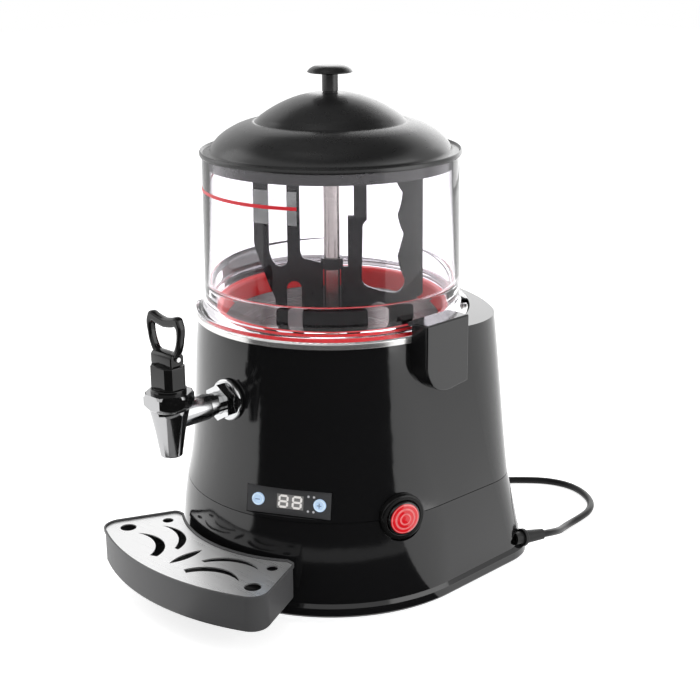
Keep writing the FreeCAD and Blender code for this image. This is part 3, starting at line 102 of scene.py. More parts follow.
lead = {
    "diameter": 7,
    "exit": (141.5, 108.4, 24),
    "route": [(147.5, 134, 21), (148, 152, 17.5), (143, 169, 12), (135, 185, 6.5), (130, 203, 3.6),
              (129, 223, 3.6), (126, 244, 3.6), (114, 264, 3.6), (92, 279, 3.6), (70, 284, 3.6),
              (47, 278, 3.6), (28, 263, 3.6), (11, 246, 3.6), (-5, 224, 3.6), (-25, 205, 3.6),
              (-48, 191, 3.6), (-72, 184.6, 3.6)],
    "coilCentre": (-85, 228),
    "outerTurn": 43.6,
    "innerTurn": 36.4,
    "floorTurn": 3.6,
    "upperTurn": 10.8,
    "moveIn": (270, 350),
    "climb": (600, 680),
    "moveOut": (930, 1010),
    "turned": 1170,
    "pointsPerTurn": 16,
    "tail": [(-129, 236, 11.6), (-128.6, 246, 13)],
    "length": 1.24,
    "boxMargin": 0.001,  # a curve's box grows by its points' radius in metres, so that is kept small
}


def eased(angle, span):
    t = np.clip((angle - span[0]) / (span[1] - span[0]), 0, 1)
    return t * t * (3 - 2 * t)


def coilPoints(settings):
    # angle runs backwards from -90 degrees; the radius steps in and out, the height steps up, each eased
    angle = np.arange(0, settings["turned"] + 1, 360 / settings["pointsPerTurn"])
    step = settings["outerTurn"] - settings["innerTurn"]
    radius = settings["outerTurn"] - step * (eased(angle, settings["moveIn"]) - eased(angle, settings["moveOut"]))
    # the line runs a little inside its points
    radius *= 8 / (6 + 2 * math.cos(2 * math.pi / settings["pointsPerTurn"]))
    climb = settings["upperTurn"] - settings["floorTurn"]
    height = settings["floorTurn"] + climb * eased(angle, settings["climb"])
    around = np.radians(-90 - angle)
    x = settings["coilCentre"][0] + radius * np.cos(around)
    y = settings["coilCentre"][1] + radius * np.sin(around)
    return list(zip(x, y, height))


def makeLead(settings):
    points = [settings["exit"], *settings["route"], *coilPoints(settings), *settings["tail"]]
    curve = bpy.data.curves.new("leadCable", "CURVE")
    curve.dimensions = "3D"
    spline = curve.splines.new("NURBS")
    spline.points.add(len(points) - 1)
    for point, place in zip(spline.points, points):
        point.co = (*metres(*place), 1)
        point.radius = settings["boxMargin"]
    spline.order_u = 3
    spline.use_endpoint_u = True
    spline.resolution_u = 8
    curve.bevel_depth = settings["diameter"] / 2000 / settings["boxMargin"]
    curve.bevel_resolution = 5
    cable = placed(linked("leadCable", curve), "housing", "cord", "mains_lead", "lead_coil")
    return cable


cable = makeLead(lead)
print("mains lead laid")


# surfaces


def traced(corners, fine=8):
    # points along corners given as (a, b), or (a, b, (point half way)) for a parabola to the next corner
    corners = list(corners)
    line = []
    for here, after in zip(corners, corners[1:] + corners[:1]):
        start, end = np.array(here[:2], float), np.array(after[:2], float)
        if len(here) == 2:
            line.append(start[None])
            continue
        t = np.arange(fine)[:, None] / fine
        control = 2 * np.array(here[2], float) - (start + end) / 2
        line.append((1 - t) ** 2 * start + 2 * t * (1 - t) * control + t * t * end)
    return np.concatenate(line)


def soften(mesh, smooth):
    # smooth faces, with an edge where they meet at more than this angle
    mesh.polygons.foreach_set("use_smooth", np.ones(len(mesh.polygons), bool))
    mesh.set_sharp_from_angle(angle=math.radians(smooth))


def meshFrom(name, vertices, faces, smooth=35, merge=1e-6):
    mesh = bpy.data.meshes.new(name)
    mesh.from_pydata(vertices.tolist(), [], faces.tolist())
    work = bmesh.new()
    work.from_mesh(mesh)
    bmesh.ops.remove_doubles(work, verts=work.verts, dist=merge)
    bmesh.ops.recalc_face_normals(work, faces=work.faces)
    work.to_mesh(mesh)
    work.free()
    soften(mesh, smooth)
    return linked(name, mesh)


def gridFaces(rows, columns, wrapRows, wrapColumns):
    # four corners of each cell of a grid whose vertices run row by row
    row = np.arange(rows if wrapRows else rows - 1)[:, None]
    column = np.arange(columns if wrapColumns else columns - 1)[None]
    here, below = row * columns, (row + 1) % rows * columns
    after = (column + 1) % columns
    return np.stack([here + column, here + after, below + after, below + column], -1).reshape(-1, 4)


def turnedPiece(name, corners, centre=(0, 0), around=256, span=None, reach=None, flats=None, fine=8, smooth=35):
    # a profile of (radius, height) swung about an upright axis; reach holds the radius back at some angles, and
    # flats is half the width over six flats; angles run from the front towards +X
    line = traced(corners, fine)
    if span is None:
        angle = np.arange(around) * 2 * np.pi / around
    else:
        angle = np.radians(np.linspace(*span, around))
    limit = np.full(len(angle), np.inf)
    if reach:
        angle = np.sort(np.concatenate([angle, np.radians(reach["edges"])]))
        turned = np.degrees(angle)[:, None] - np.array(reach["middles"])[None]
        near = np.abs((turned + 180) % 360 - 180).min(1) < reach["half"]
        limit = np.where(near, reach["radius"], np.inf)
    if flats:
        limit = flats / np.cos((angle + np.pi / 6) % (np.pi / 3) - np.pi / 6)
    radius = np.minimum(line[:, 0][:, None], limit[None])
    height = np.repeat(line[:, 1][:, None], len(angle), 1)
    x = centre[0] + radius * np.sin(angle)
    y = centre[1] + axisY - radius * np.cos(angle)
    vertices = np.stack([x, y, height], -1).reshape(-1, 3) / 1000
    return meshFrom(name, vertices, gridFaces(len(line), len(angle), True, span is None), smooth)


def flatPiece(name, outlines, depth, round=0.0, matrix=None, fine=8):
    # a plate cut to its outlines (the first is the outer edge, the others are holes), with rounded edges
    curve = bpy.data.curves.new(name, "CURVE")
    curve.dimensions = "2D"
    curve.fill_mode = "BOTH"
    curve.extrude = depth / 2000 - round / 1000
    curve.bevel_depth = round / 1000
    curve.bevel_resolution = 3
    curve.offset = -round / 1000
    for outline in outlines:
        points = traced(outline, fine) / 1000
        spline = curve.splines.new("POLY")
        spline.points.add(len(points) - 1)
        places = np.column_stack([points, np.zeros(len(points)), np.ones(len(points))])
        spline.points.foreach_set("co", places.ravel())
        spline.use_cyclic_u = True
    drawn = linked(name + "Outline", curve)
    bpy.context.view_layer.update()
    mesh = bpy.data.meshes.new_from_object(drawn.evaluated_get(bpy.context.evaluated_depsgraph_get()))
    bpy.data.objects.remove(drawn)
    bpy.data.curves.remove(curve)
    if matrix:
        mesh.transform(matrix)
    soften(mesh, 35)
    mesh.name = name
    return linked(name, mesh)


def joined(name, items, smooth=35):
    # one piece of several
    work = bmesh.new()
    for item in items:
        work.from_mesh(item.data)
        bpy.data.objects.remove(item)
    mesh = bpy.data.meshes.new(name)
    work.to_mesh(mesh)
    work.free()
    soften(mesh, smooth)
    return linked(name, mesh)


def circle(radius, count=48):
    angle = np.arange(count) * 2 * np.pi / count
    return np.stack([radius * np.cos(angle), radius * np.sin(angle)], -1).tolist()


def mirrored(corners):
    # the outline and its mirror image across the second axis; corners run down one side
    other = []
    for index in range(len(corners) - 1, -1, -1):
        here = corners[index]
        bend = corners[index - 1][2:] if index else ()
        other.append((-here[0], here[1], *[(-x, y) for x, y in bend]))
    return list(corners) + other


def uprightAt(x, y):
    # local x across, local y up, local z to the front
    return Matrix.Translation(metres(x, y, 0)) @ Matrix.Rotation(math.pi / 2, 4, "X")


def sidewaysAt(x, y):
    # local x to the back, local y up, local z across
    return Matrix.Translation(metres(x, y, 0)) @ Matrix(((0, 0, 1), (1, 0, 0), (0, 1, 0))).to_4x4()


def faceFrame(distance, azimuth, height, tilt=0):
    # a face of the housing: local x to its right, y up along it, z out of it
    turn = math.radians(azimuth)
    place = metres(distance * math.sin(turn), -distance * math.cos(turn), height)
    upright = Matrix.Rotation(turn, 4, "Z") @ Matrix.Rotation(math.pi / 2, 4, "X")
    return Matrix.Translation(place) @ upright @ Matrix.Rotation(-math.radians(tilt), 4, "X")


# lid, knob and bowl: profiles of (radius, height) about the bowl's axis

lid = {
    "shell": [
        (108.6, 378.6), (110.8, 378.6), (110.8, 388.55), (115.5, 388.55, (116.1, 388.75)), (116.3, 389.35),
        (116.3, 391.55, (115.2, 392.85)), (114.1, 391.55), (113.3, 390.95), (109.4, 391.35, (107.6, 392.15)),
        (106.4, 394.15, (98.8, 403.8)), (85, 412.4, (78, 415)), (70.6, 416.8, (68.8, 416.9)),
        (67.2, 416.7, (65.4, 418)), (62.4, 421.2, (40, 434)), (16, 441.1, (9, 441.4)), (4, 441.4), (4, 439.2),
        (15.4, 438.8, (38.6, 431.6)), (61, 418.8, (64, 416.2)), (66.4, 414.6), (70.4, 414.6),
        (84, 410.2, (96.8, 402)), (103.6, 393.95), (108.6, 389.15)],
    "knob": [
        (2.6, 441.45), (6.6, 441.45), (6.6, 442.35), (7.2, 442.75), (7.2, 456.8, (7.6, 457.8)), (8.6, 458.2),
        (19.1, 458.4, (20, 459)), (19.8, 459.7, (15.4, 463.3)), (8.6, 464.8), (3, 465), (0, 465), (0, 457.45),
        (2.6, 457.45)],
    "shellSteps": 288,
    "knobSteps": 96,
}
bowl = {
    "wall": [
        (112.6, 249.3), (123.2, 249.3, (123.9, 249.6)), (124.2, 250.3), (124.2, 252, (123.9, 252.9)),
        (123, 253.2), (122, 253.4, (117.6, 256.4)), (115.8, 262), (114.4, 387.4, (114.1, 388.1)),
        (113.4, 388.4), (112.4, 388.4, (111.7, 388.1)), (111.4, 387.4), (112.5, 277, (109.55, 275.2)),
        (108.2, 271), (108.2, 252.4), (112.6, 252.4)],
    "steps": 360,
    "notches": {"radius": 117.6, "half": 14.1, "middles": [120.0, 300.0],
                "edges": [105.9, 105.91, 134.09, 134.1, 285.9, 285.91, 314.09, 314.1]},
    "outside": ((115.8, 262), (114.4, 387.4)),  # of the wall, above its foot and at its rim
    "bandSteps": 48,
}
# strips round the wall: slot, middle height, half the width, from and to angle, how far off the wall, thickness
bands = {
    "levelMark": ("red_plastic", 360, 1.5, (-58, 31), 0.12, 0.1),
    "levelFilm": ("clear_plastic", 360, 14, (4, 31), 0.02, 0.06),
}


def wallRadius(height):
    # the wall's outside narrows evenly with height
    (foot, low), (rim, high) = bowl["outside"]
    return foot + (rim - foot) * (height - low) / (high - low)


def makeBand(name):
    slot, level, half, span, lift, sheet = bands[name]
    low, high = level - half, level + half
    lowIn, highIn = wallRadius(low) + lift, wallRadius(high) + lift
    corners = [(lowIn, low), (lowIn + sheet, low), (highIn + sheet, high), (highIn, high)]
    return placed(turnedPiece(name, corners, around=bowl["bandSteps"], span=span), "bowl", slot)


lidShell = placed(turnedPiece("lidDome", lid["shell"], around=lid["shellSteps"]), "lid", "black_satin",
                  "lid_shell")
knob = placed(turnedPiece("capKnob", lid["knob"], around=lid["knobSteps"]), "lid", "black_satin", "lid_knob")
bowlWall = placed(turnedPiece("bowlWall", bowl["wall"], around=bowl["steps"], reach=bowl["notches"]), "bowl",
                  "clear_plastic", "bowl")
levelMark = makeBand("levelMark")
levelFilm = makeBand("levelFilm")
print("lid, knob and bowl turned")


# tap: body, bonnet, spring and loop handle

tap = {
    "reach": -192,
    "bonnet": [
        (12.4, 203.6), (12.5, 212.65), (15, 212.7), (15, 215.2, (14.7, 215.9)), (14, 216.1), (13, 216.1),
        (13, 217), (10.6, 217), (10.6, 203.6)],
    "bonnetSteps": 96,
    "block": [(13.6, 6), (13.6, -6), (9, -11), (-9, -11), (-13.6, -6), (-13.6, 6), (-9, 11), (9, 11)],
    "blockSpan": (216.1, 235.9),
    "blockBore": 9.9,
    "lidRing": [(4.6, 233), (9.9, 233), (10, 235.6), (4.6, 235.6)],
    "lidRingSteps": 64,
    "edgeRound": 1.0,
    "heel": [
        (-6.4, 234.6, (-5.4, 235.2)), (-3.9, 236.3), (4.5, 236.3, (6.4, 237.4)), (7, 240),
        (7, 243, (5.4, 246.4)), (0, 248, (-5.4, 246.4)), (-7, 243), (-7, 238)],
    "hub": 26.4,
    "loop": [
        (0, 276.2, (8, 277.6)), (14, 279.4, (18.4, 278.8)), (20.4, 275.6, (22.2, 269.4)),
        (21, 261.4, (18.2, 251)), (12.8, 243), (0, 243)],
    "hole": [
        (0, 268.2, (8.4, 269.4)), (13.2, 270.8, (15.8, 270.2)), (16.8, 267, (15.8, 258)),
        (11.8, 249.4, (6, 247.2)), (0, 246.6)],
    "loopDepth": 7.4,
    "loopRound": 2.2,
    "spout": [
        (7.6, 156), (8.4, 156, (9.2, 156.4)), (9.4, 157.4), (12.9, 179), (15.9, 193, (16.4, 195.2)),
        (16.6, 197.6), (17.4, 198.6, (20.2, 201.4)), (23, 204.2), (23, 210), (19.2, 212.6, (19, 212.6)),
        (12.6, 212.6), (12.6, 203.6), (10.4, 199), (10.4, 177), (7.6, 177)],
    "spoutSteps": 360,
    "flats": 18.5,
    "boss": [(0, 8), (11.4, 8), (11.4, 37.4, (11.2, 37.8)), (10.6, 38), (10.6, 42), (0, 42)],
    "bossSteps": 96,
    "bossHeight": 189,
    "edgeAngle": 24,
    "spring": {"radius": 8.4, "wire": 0.8, "span": (186.1, 232), "turns": 5.5, "steps": 160, "sides": 12},
    "stemLift": 4.5,
}


def makeHandle(settings):
    outlines = [mirrored(settings["loop"]), mirrored(settings["hole"])]
    loop = flatPiece("loop", outlines, settings["loopDepth"], settings["loopRound"],
                     uprightAt(0, settings["reach"]))
    hub = flatPiece("hub", [settings["heel"]], settings["hub"], settings["edgeRound"],
                    sidewaysAt(0, settings["reach"]))
    return placed(joined("loopHandle", [loop, hub]), "tap_lever", "black_satin", "tap_handle")


def makeBonnet(settings):
    # a round foot, a block with flats that is hollow for the spring, and the ring that closes it round the stem
    axis = (0, settings["reach"])
    low, high = settings["blockSpan"]
    middle = Matrix.Translation(metres(*axis, (low + high) / 2))
    outlines = [settings["block"], circle(settings["blockBore"])]
    foot = turnedPiece("bonnetFoot", settings["bonnet"], axis, settings["bonnetSteps"])
    block = flatPiece("bonnetBlock", outlines, high - low, settings["edgeRound"], middle)
    ring = turnedPiece("bonnetRing", settings["lidRing"], axis, settings["lidRingSteps"])
    return placed(joined("tapCap", [foot, block, ring]), "housing", "black_satin", "tap_bonnet")


def makeTapBody(settings):
    # a round spout under a hexagon head with turned corners, and the boss that runs back to the housing
    spout = turnedPiece("spout", settings["spout"], (0, settings["reach"]), settings["spoutSteps"],
                        flats=settings["flats"], fine=14, smooth=settings["edgeAngle"])
    boss = turnedPiece("boss", settings["boss"], (0, -axisY), settings["bossSteps"])
    layBack = Matrix.Rotation(-math.pi / 2, 4, "X")
    boss.data.transform(Matrix.Translation(metres(0, settings["reach"], settings["bossHeight"])) @ layBack)
    body = joined("tapShell", [spout, boss], settings["edgeAngle"])
    return placed(body, "housing", "chrome", "tap_body")


def makeSpring(settings):
    # a round wire carried along a helix that climbs evenly as it turns, its section in the upright plane through
    # the tap's axis and drawn to a point at both ends; the stem's collar presses it against the bonnet's lid
    coil = settings["spring"]
    low, high = coil["span"]
    along = np.concatenate([[0], np.linspace(0, 1, coil["steps"]), [1]])[:, None]
    wire = np.full(along.shape, coil["wire"])
    wire[[0, -1]] = 0
    section = np.arange(coil["sides"])[None] * 2 * np.pi / coil["sides"]
    angle = along * coil["turns"] * 2 * np.pi
    radius = coil["radius"] + wire * np.cos(section)
    x, y = radius * np.sin(angle), settings["reach"] + axisY - radius * np.cos(angle)
    z = low + along * (high - low) + wire * np.sin(section)
    vertices = np.stack([x, y, z], -1).reshape(-1, 3) / 1000
    item = meshFrom("tapSpring", vertices, gridFaces(len(along), coil["sides"], False, True))
    placed(item, "tap_stem", "steel", "tap_spring")
    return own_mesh(item)


loopHandle = makeHandle(tap)
tapShell = makeTapBody(tap)
tapCap = makeBonnet(tap)
tapSpring = makeSpring(tap)
print("tap made")


# digits and signs on the panel and the keys

panel = {
    "face": (127.6, 27.7, 106.2, 9.7),
    "digit": (9.2, 11.6, 1.9),  # width, height and stroke
    "digitPlaces": (-5.2, 7.2),
    "digitGap": 0.3,
    "lean": 0.06,
    "front": 1.66,
    "digitSheet": 0.08,
    # place along the panel, and the width and height of each stroke
    "signs": {"minus": (-28, [(4.2, 0.75)]), "plus": (28, [(4.2, 0.75), (0.75, 4.2)])},
    "signFront": 3.84,
    "signSheet": 0.06,
    "signStep": 0.02,
}


def segment(long, wide):
    # a pointed segment of a digit, lying down
    half, end = wide / 2, long / 2
    return [(-end, 0), (-end + half, half), (end - half, half), (end, 0), (end - half, -half), (-end + half, -half)]


def digitOutlines(x, settings):
    # three lying segments and four standing ones, leaned over by their height
    width, height, stroke = settings["digit"]
    across, up = width - stroke, (height - stroke) / 2
    lying, standing = segment(across - settings["digitGap"], stroke), segment(up - settings["digitGap"], stroke)
    outlines = [[(x + a, y + b) for a, b in lying] for y in (-up, 0, up)]
    for side in (-across / 2, across / 2):
        outlines += [[(x + side + b, y + a) for a, b in standing] for y in (-up / 2, up / 2)]
    return [[(a + settings["lean"] * b, b) for a, b in outline] for outline in outlines]


def onPanel(settings, x, front):
    # the panel's frame, moved along it and out of it
    return faceFrame(*settings["face"]) @ Matrix.Translation((x / 1000, 0, front / 1000))


def makeDigits(settings):
    outlines = [outline for x in settings["digitPlaces"] for outline in digitOutlines(x, settings)]
    face = onPanel(settings, 0, settings["front"])
    return placed(flatPiece("digits", outlines, settings["digitSheet"], 0, face), "housing", "display")


def makeSign(name, settings):
    x, strokes = settings["signs"][name]
    parts = []
    for index, (wide, tall) in enumerate(strokes):
        a, b = wide / 2, tall / 2
        face = onPanel(settings, x, settings["signFront"] + settings["signStep"] * index)
        parts.append(flatPiece("stroke", [[(-a, -b), (a, -b), (a, b), (-a, b)]], settings["signSheet"], 0, face))
    return placed(joined(name + "Sign", parts), name + "_key", "key_plastic")


digits = makeDigits(panel)
signs = [makeSign(name, panel) for name in panel["signs"]]
print("digits and signs set")


# shader helpers


def put(tree, kind, inputs=None, **settings):
    # one shader node, its inputs set to values or linked from other sockets
    node = tree.nodes.new(kind)
    for name, value in settings.items():
        setattr(node, name, value)
    for name, value in (inputs or {}).items():
        if isinstance(value, bpy.types.NodeSocket):
            tree.links.new(value, node.inputs[name])
        else:
            node.inputs[name].default_value = value
    return node


def newGroup(name, inputs, outputs):
    tree = bpy.data.node_groups.new(name, "ShaderNodeTree")
    for label, kind, value in inputs:
        socket = tree.interface.new_socket(label, in_out="INPUT", socket_type=kind)
        if value is not None:
            socket.default_value = value
    for label, kind in outputs:
        tree.interface.new_socket(label, in_out="OUTPUT", socket_type=kind)
    return tree, tree.nodes.new("NodeGroupInput").outputs, tree.nodes.new("NodeGroupOutput").inputs


def calc(tree, operation, first, second=None, third=None):
    given = {i: v for i, v in enumerate((first, second, third)) if v is not None}
    return put(tree, "ShaderNodeMath", given, operation=operation).outputs[0]


def noise(tree, vector, scale, detail, **more):
    return put(tree, "ShaderNodeTexNoise", {"Vector": vector, "Scale": scale, "Detail": detail, **more}).outputs[0]


def ranged(tree, value, fromLow, fromHigh, toLow, toHigh):
    return put(tree, "ShaderNodeMapRange", {0: value, 1: fromLow, 2: fromHigh, 3: toLow, 4: toHigh}).outputs[0]


def mixed(tree, share, dark, light):
    # a colour between two, each a colour or a socket
    ends = [end if isinstance(end, bpy.types.NodeSocket) else (*end, 1) for end in (dark, light)]
    return put(tree, "ShaderNodeMix", {0: share, 6: ends[0], 7: ends[1]}, data_type="RGBA").outputs[2]


def makeMouldedGrain():
    # fine moulding grain, soft unevenness and light wiping marks
    tree, given, out = newGroup("mouldedGrain", [
        ("Vector", "NodeSocketVector", None), ("Fineness", "NodeSocketFloat", 900.0),
        ("Roughness", "NodeSocketFloat", 0.3), ("Unevenness", "NodeSocketFloat", 0.05)],
        [("Height", "NodeSocketFloat"), ("Roughness", "NodeSocketFloat")])
    fine = noise(tree, given["Vector"], given["Fineness"], 2.0)
    smudge = noise(tree, given["Vector"], 22.0, 5.0, Roughness=0.6)
    wipe = noise(tree, given["Vector"], 160.0, 3.0, Distortion=0.8)
    change = calc(tree, "MULTIPLY_ADD", calc(tree, "MULTIPLY", smudge, wipe), given["Unevenness"], given["Roughness"])
    tree.links.new(fine, out["Height"])
    tree.links.new(change, out["Roughness"])
    return tree


def makeSettledDust():
    # a pale film on faces that look up, broken by noise
    tree, given, out = newGroup("settledDust", [
        ("Vector", "NodeSocketVector", None), ("Colour", "NodeSocketColor", (0.02, 0.02, 0.02, 1)),
        ("Amount", "NodeSocketFloat", 0.05)], [("Colour", "NodeSocketColor")])
    facing = put(tree, "ShaderNodeSeparateXYZ", {0: put(tree, "ShaderNodeNewGeometry").outputs["Normal"]})
    upward = calc(tree, "POWER", calc(tree, "MAXIMUM", facing.outputs["Z"], 0.0), 2.0)
    specks = calc(tree, "MULTIPLY", noise(tree, given["Vector"], 260.0, 6.0), given["Amount"])
    dusty = mixed(tree, calc(tree, "MULTIPLY", upward, specks), given["Colour"], (0.5, 0.49, 0.47))
    tree.links.new(dusty, out["Colour"])
    return tree


def makeTurnedLines():
    # fine lines round an upright axis, as spinning and polishing leave them
    tree, given, out = newGroup("turnedLines", [
        ("Vector", "NodeSocketVector", None), ("Centre", "NodeSocketVector", (0, 0, 0)),
        ("Fineness", "NodeSocketFloat", 1400.0)], [("Tone", "NodeSocketFloat")])
    moved = put(tree, "ShaderNodeVectorMath", {0: given["Vector"], 1: given["Centre"]}, operation="SUBTRACT")
    part = put(tree, "ShaderNodeSeparateXYZ", {0: moved.outputs[0]}).outputs
    squares = [calc(tree, "MULTIPLY", part[axis], part[axis]) for axis in ("X", "Y")]
    across = calc(tree, "SQRT", calc(tree, "ADD", *squares))
    around = calc(tree, "ARCTAN2", part["Y"], part["X"])
    place = put(tree, "ShaderNodeCombineXYZ", {
        0: calc(tree, "MULTIPLY", across, given["Fineness"]), 1: calc(tree, "MULTIPLY", around, 1.2),
        2: calc(tree, "MULTIPLY", part["Z"], given["Fineness"])})
    tree.links.new(noise(tree, place.outputs[0], 1.0, 3.0), out["Tone"])
    return tree


def makeStraightLines():
    # fine brushed lines along X
    tree, given, out = newGroup("straightLines", [
        ("Vector", "NodeSocketVector", None), ("Fineness", "NodeSocketFloat", 1600.0)],
        [("Tone", "NodeSocketFloat")])
    part = put(tree, "ShaderNodeSeparateXYZ", {0: given["Vector"]}).outputs
    place = put(tree, "ShaderNodeCombineXYZ", {
        0: calc(tree, "MULTIPLY", part["X"], 14.0), 1: calc(tree, "MULTIPLY", part["Y"], given["Fineness"]),
        2: calc(tree, "MULTIPLY", part["Z"], given["Fineness"])})
    tree.links.new(noise(tree, place.outputs[0], 1.0, 4.0), out["Tone"])
    return tree


mouldedGrain = makeMouldedGrain()
settledDust = makeSettledDust()
turnedLines = makeTurnedLines()
straightLines = makeStraightLines()


# materials; depths and radii are in mm


def startMaterial(name):
    material = bpy.data.materials.new(name)
    material.use_nodes = True
    tree = material.node_tree
    tree.nodes.clear()
    return material, tree, put(tree, "ShaderNodeTexCoord").outputs["Object"]


def finish(tree, shader):
    put(tree, "ShaderNodeOutputMaterial", {"Surface": shader.outputs[0]})


def bumped(tree, height, depth, strength=1.0):
    return put(tree, "ShaderNodeBump", {"Height": height, "Strength": strength, "Distance": depth / 1000}).outputs[0]


def grained(name, colour, roughness, grain=900.0, depth=0.02, uneven=0.1, dust=0.0, shine=0.5, metal=0.0):
    # moulded plastic or rubber, and with metal at 1 cast or plated metal
    material, tree, coords = startMaterial(name)
    surface = put(tree, "ShaderNodeGroup", {
        "Vector": coords, "Fineness": grain, "Roughness": roughness, "Unevenness": uneven},
        node_tree=mouldedGrain).outputs
    tint = (*colour, 1)
    if dust:
        tint = put(tree, "ShaderNodeGroup", {"Vector": coords, "Colour": tint, "Amount": dust},
                   node_tree=settledDust).outputs["Colour"]
    finish(tree, put(tree, "ShaderNodeBsdfPrincipled", {
        "Base Color": tint, "Roughness": surface["Roughness"], "Normal": bumped(tree, surface["Height"], depth),
        "Specular IOR Level": shine, "Metallic": metal}))
    return material


def lined(name, dark, light, roughness, straight=False, fineness=1400.0, depth=0.004, spread=0.12, metal=1.0,
          centre=(0, 0, 0)):
    # metal with fine lines, straight or turned about centre; the pale lines are rougher
    material, tree, coords = startMaterial(name)
    values = {"Vector": coords, "Fineness": fineness}
    if not straight:
        values["Centre"] = centre
    lines = put(tree, "ShaderNodeGroup", values, node_tree=straightLines if straight else turnedLines)
    tone = lines.outputs["Tone"]
    finish(tree, put(tree, "ShaderNodeBsdfPrincipled", {
        "Base Color": mixed(tree, tone, dark, light),
        "Roughness": ranged(tree, tone, 0.3, 0.7, roughness, roughness + spread),
        "Normal": bumped(tree, tone, depth), "Metallic": metal}))
    return material


def clearWall(name, colour, index, shine, smear):
    # clear wall that lets lamp light through to what stands behind it
    material, tree, coords = startMaterial(name)
    ripple = bumped(tree, noise(tree, coords, 14.0, 2.0), 0.4, 0.3)
    shader = put(tree, "ShaderNodeBsdfPrincipled", {
        "Base Color": (*colour, 1), "Roughness": ranged(tree, noise(tree, coords, 60.0, 5.0), 0.45, 0.8, 0.0, smear),
        "IOR": index, "Transmission Weight": 1.0, "Specular IOR Level": shine, "Normal": ripple})
    passing = put(tree, "ShaderNodeBsdfTransparent", {"Color": (*colour, 1)})
    path = put(tree, "ShaderNodeLightPath")
    finish(tree, put(tree, "ShaderNodeMixShader", {
        0: path.outputs["Is Shadow Ray"], 1: shader.outputs[0], 2: passing.outputs[0]}))
    return material


def glowing(name, colour, strength, base):
    # a lit surface, a little uneven in brightness
    material, tree, coords = startMaterial(name)
    shade = mixed(tree, noise(tree, coords, 500.0, 2.0), [c * 0.8 for c in colour], colour)
    finish(tree, put(tree, "ShaderNodeBsdfPrincipled", {
        "Base Color": (*base, 1), "Roughness": 0.3, "Emission Color": shade, "Emission Strength": strength}))
    return material


def litAndHighlightRings(name, face, base, glowAndHighlight, strength, glowAndHighlightRings, roughness, edge=99.0):
    # a translucent button lit from behind, with rings, each a radius and half a width, about its axis: lit rings
    # on the keys, painted highlights (the reflections on a domed cap) on the power button; black from edge outwards
    material, tree, coords = startMaterial(name)
    centre, axis = face.to_translation(), face.to_3x3().col[2]
    away = put(tree, "ShaderNodeVectorMath", {0: coords, 1: tuple(centre)}, operation="SUBTRACT").outputs[0]
    across = put(tree, "ShaderNodeVectorMath", {0: away, 1: tuple(axis)}, operation="CROSS_PRODUCT").outputs[0]
    distance = put(tree, "ShaderNodeVectorMath", {0: across}, operation="LENGTH").outputs["Value"]
    distance = calc(tree, "MULTIPLY", distance, 1000.0)
    # the rings' brightness: a lit ring on the keys, painted highlights on the power button
    ringGlowAndHighlight = 0.0
    for radius, half in glowAndHighlightRings:
        gap = calc(tree, "ABSOLUTE", calc(tree, "SUBTRACT", distance, radius))
        ringGlowAndHighlight = calc(tree, "MAXIMUM", ranged(tree, gap, half * 0.4, half, 1.0, 0.0), ringGlowAndHighlight)
    cloudy = ranged(tree, noise(tree, coords, 220.0, 3.0), 0.3, 0.7, 0.75, 1.1)
    inside = ranged(tree, distance, edge - 0.3, edge + 0.1, 1.0, 0.0)
    light = put(tree, "ShaderNodeVectorMath", {
        0: mixed(tree, ringGlowAndHighlight, *glowAndHighlight), "Scale": calc(tree, "MULTIPLY", cloudy, inside)}, operation="SCALE")
    finish(tree, put(tree, "ShaderNodeBsdfPrincipled", {
        "Base Color": mixed(tree, inside, (0.01, 0.01, 0.01), base), "Roughness": roughness,
        "Specular IOR Level": 0.3, "Coat Weight": 0.6, "Coat Roughness": 0.05,
        "Emission Color": light.outputs[0], "Emission Strength": strength}))
    return material


def clearFilm(name, tint, shine):
    # a thin printed film: mostly see-through, with a faint tint and gloss
    material, tree, coords = startMaterial(name)
    share = ranged(tree, noise(tree, coords, 90.0, 4.0), 0.35, 0.65, 0.6 * shine, shine)
    gloss = put(tree, "ShaderNodeBsdfPrincipled", {"Base Color": (*tint, 1), "Roughness": 0.35})
    passing = put(tree, "ShaderNodeBsdfTransparent")
    finish(tree, put(tree, "ShaderNodeMixShader", {0: share, 1: passing.outputs[0], 2: gloss.outputs[0]}))
    return material


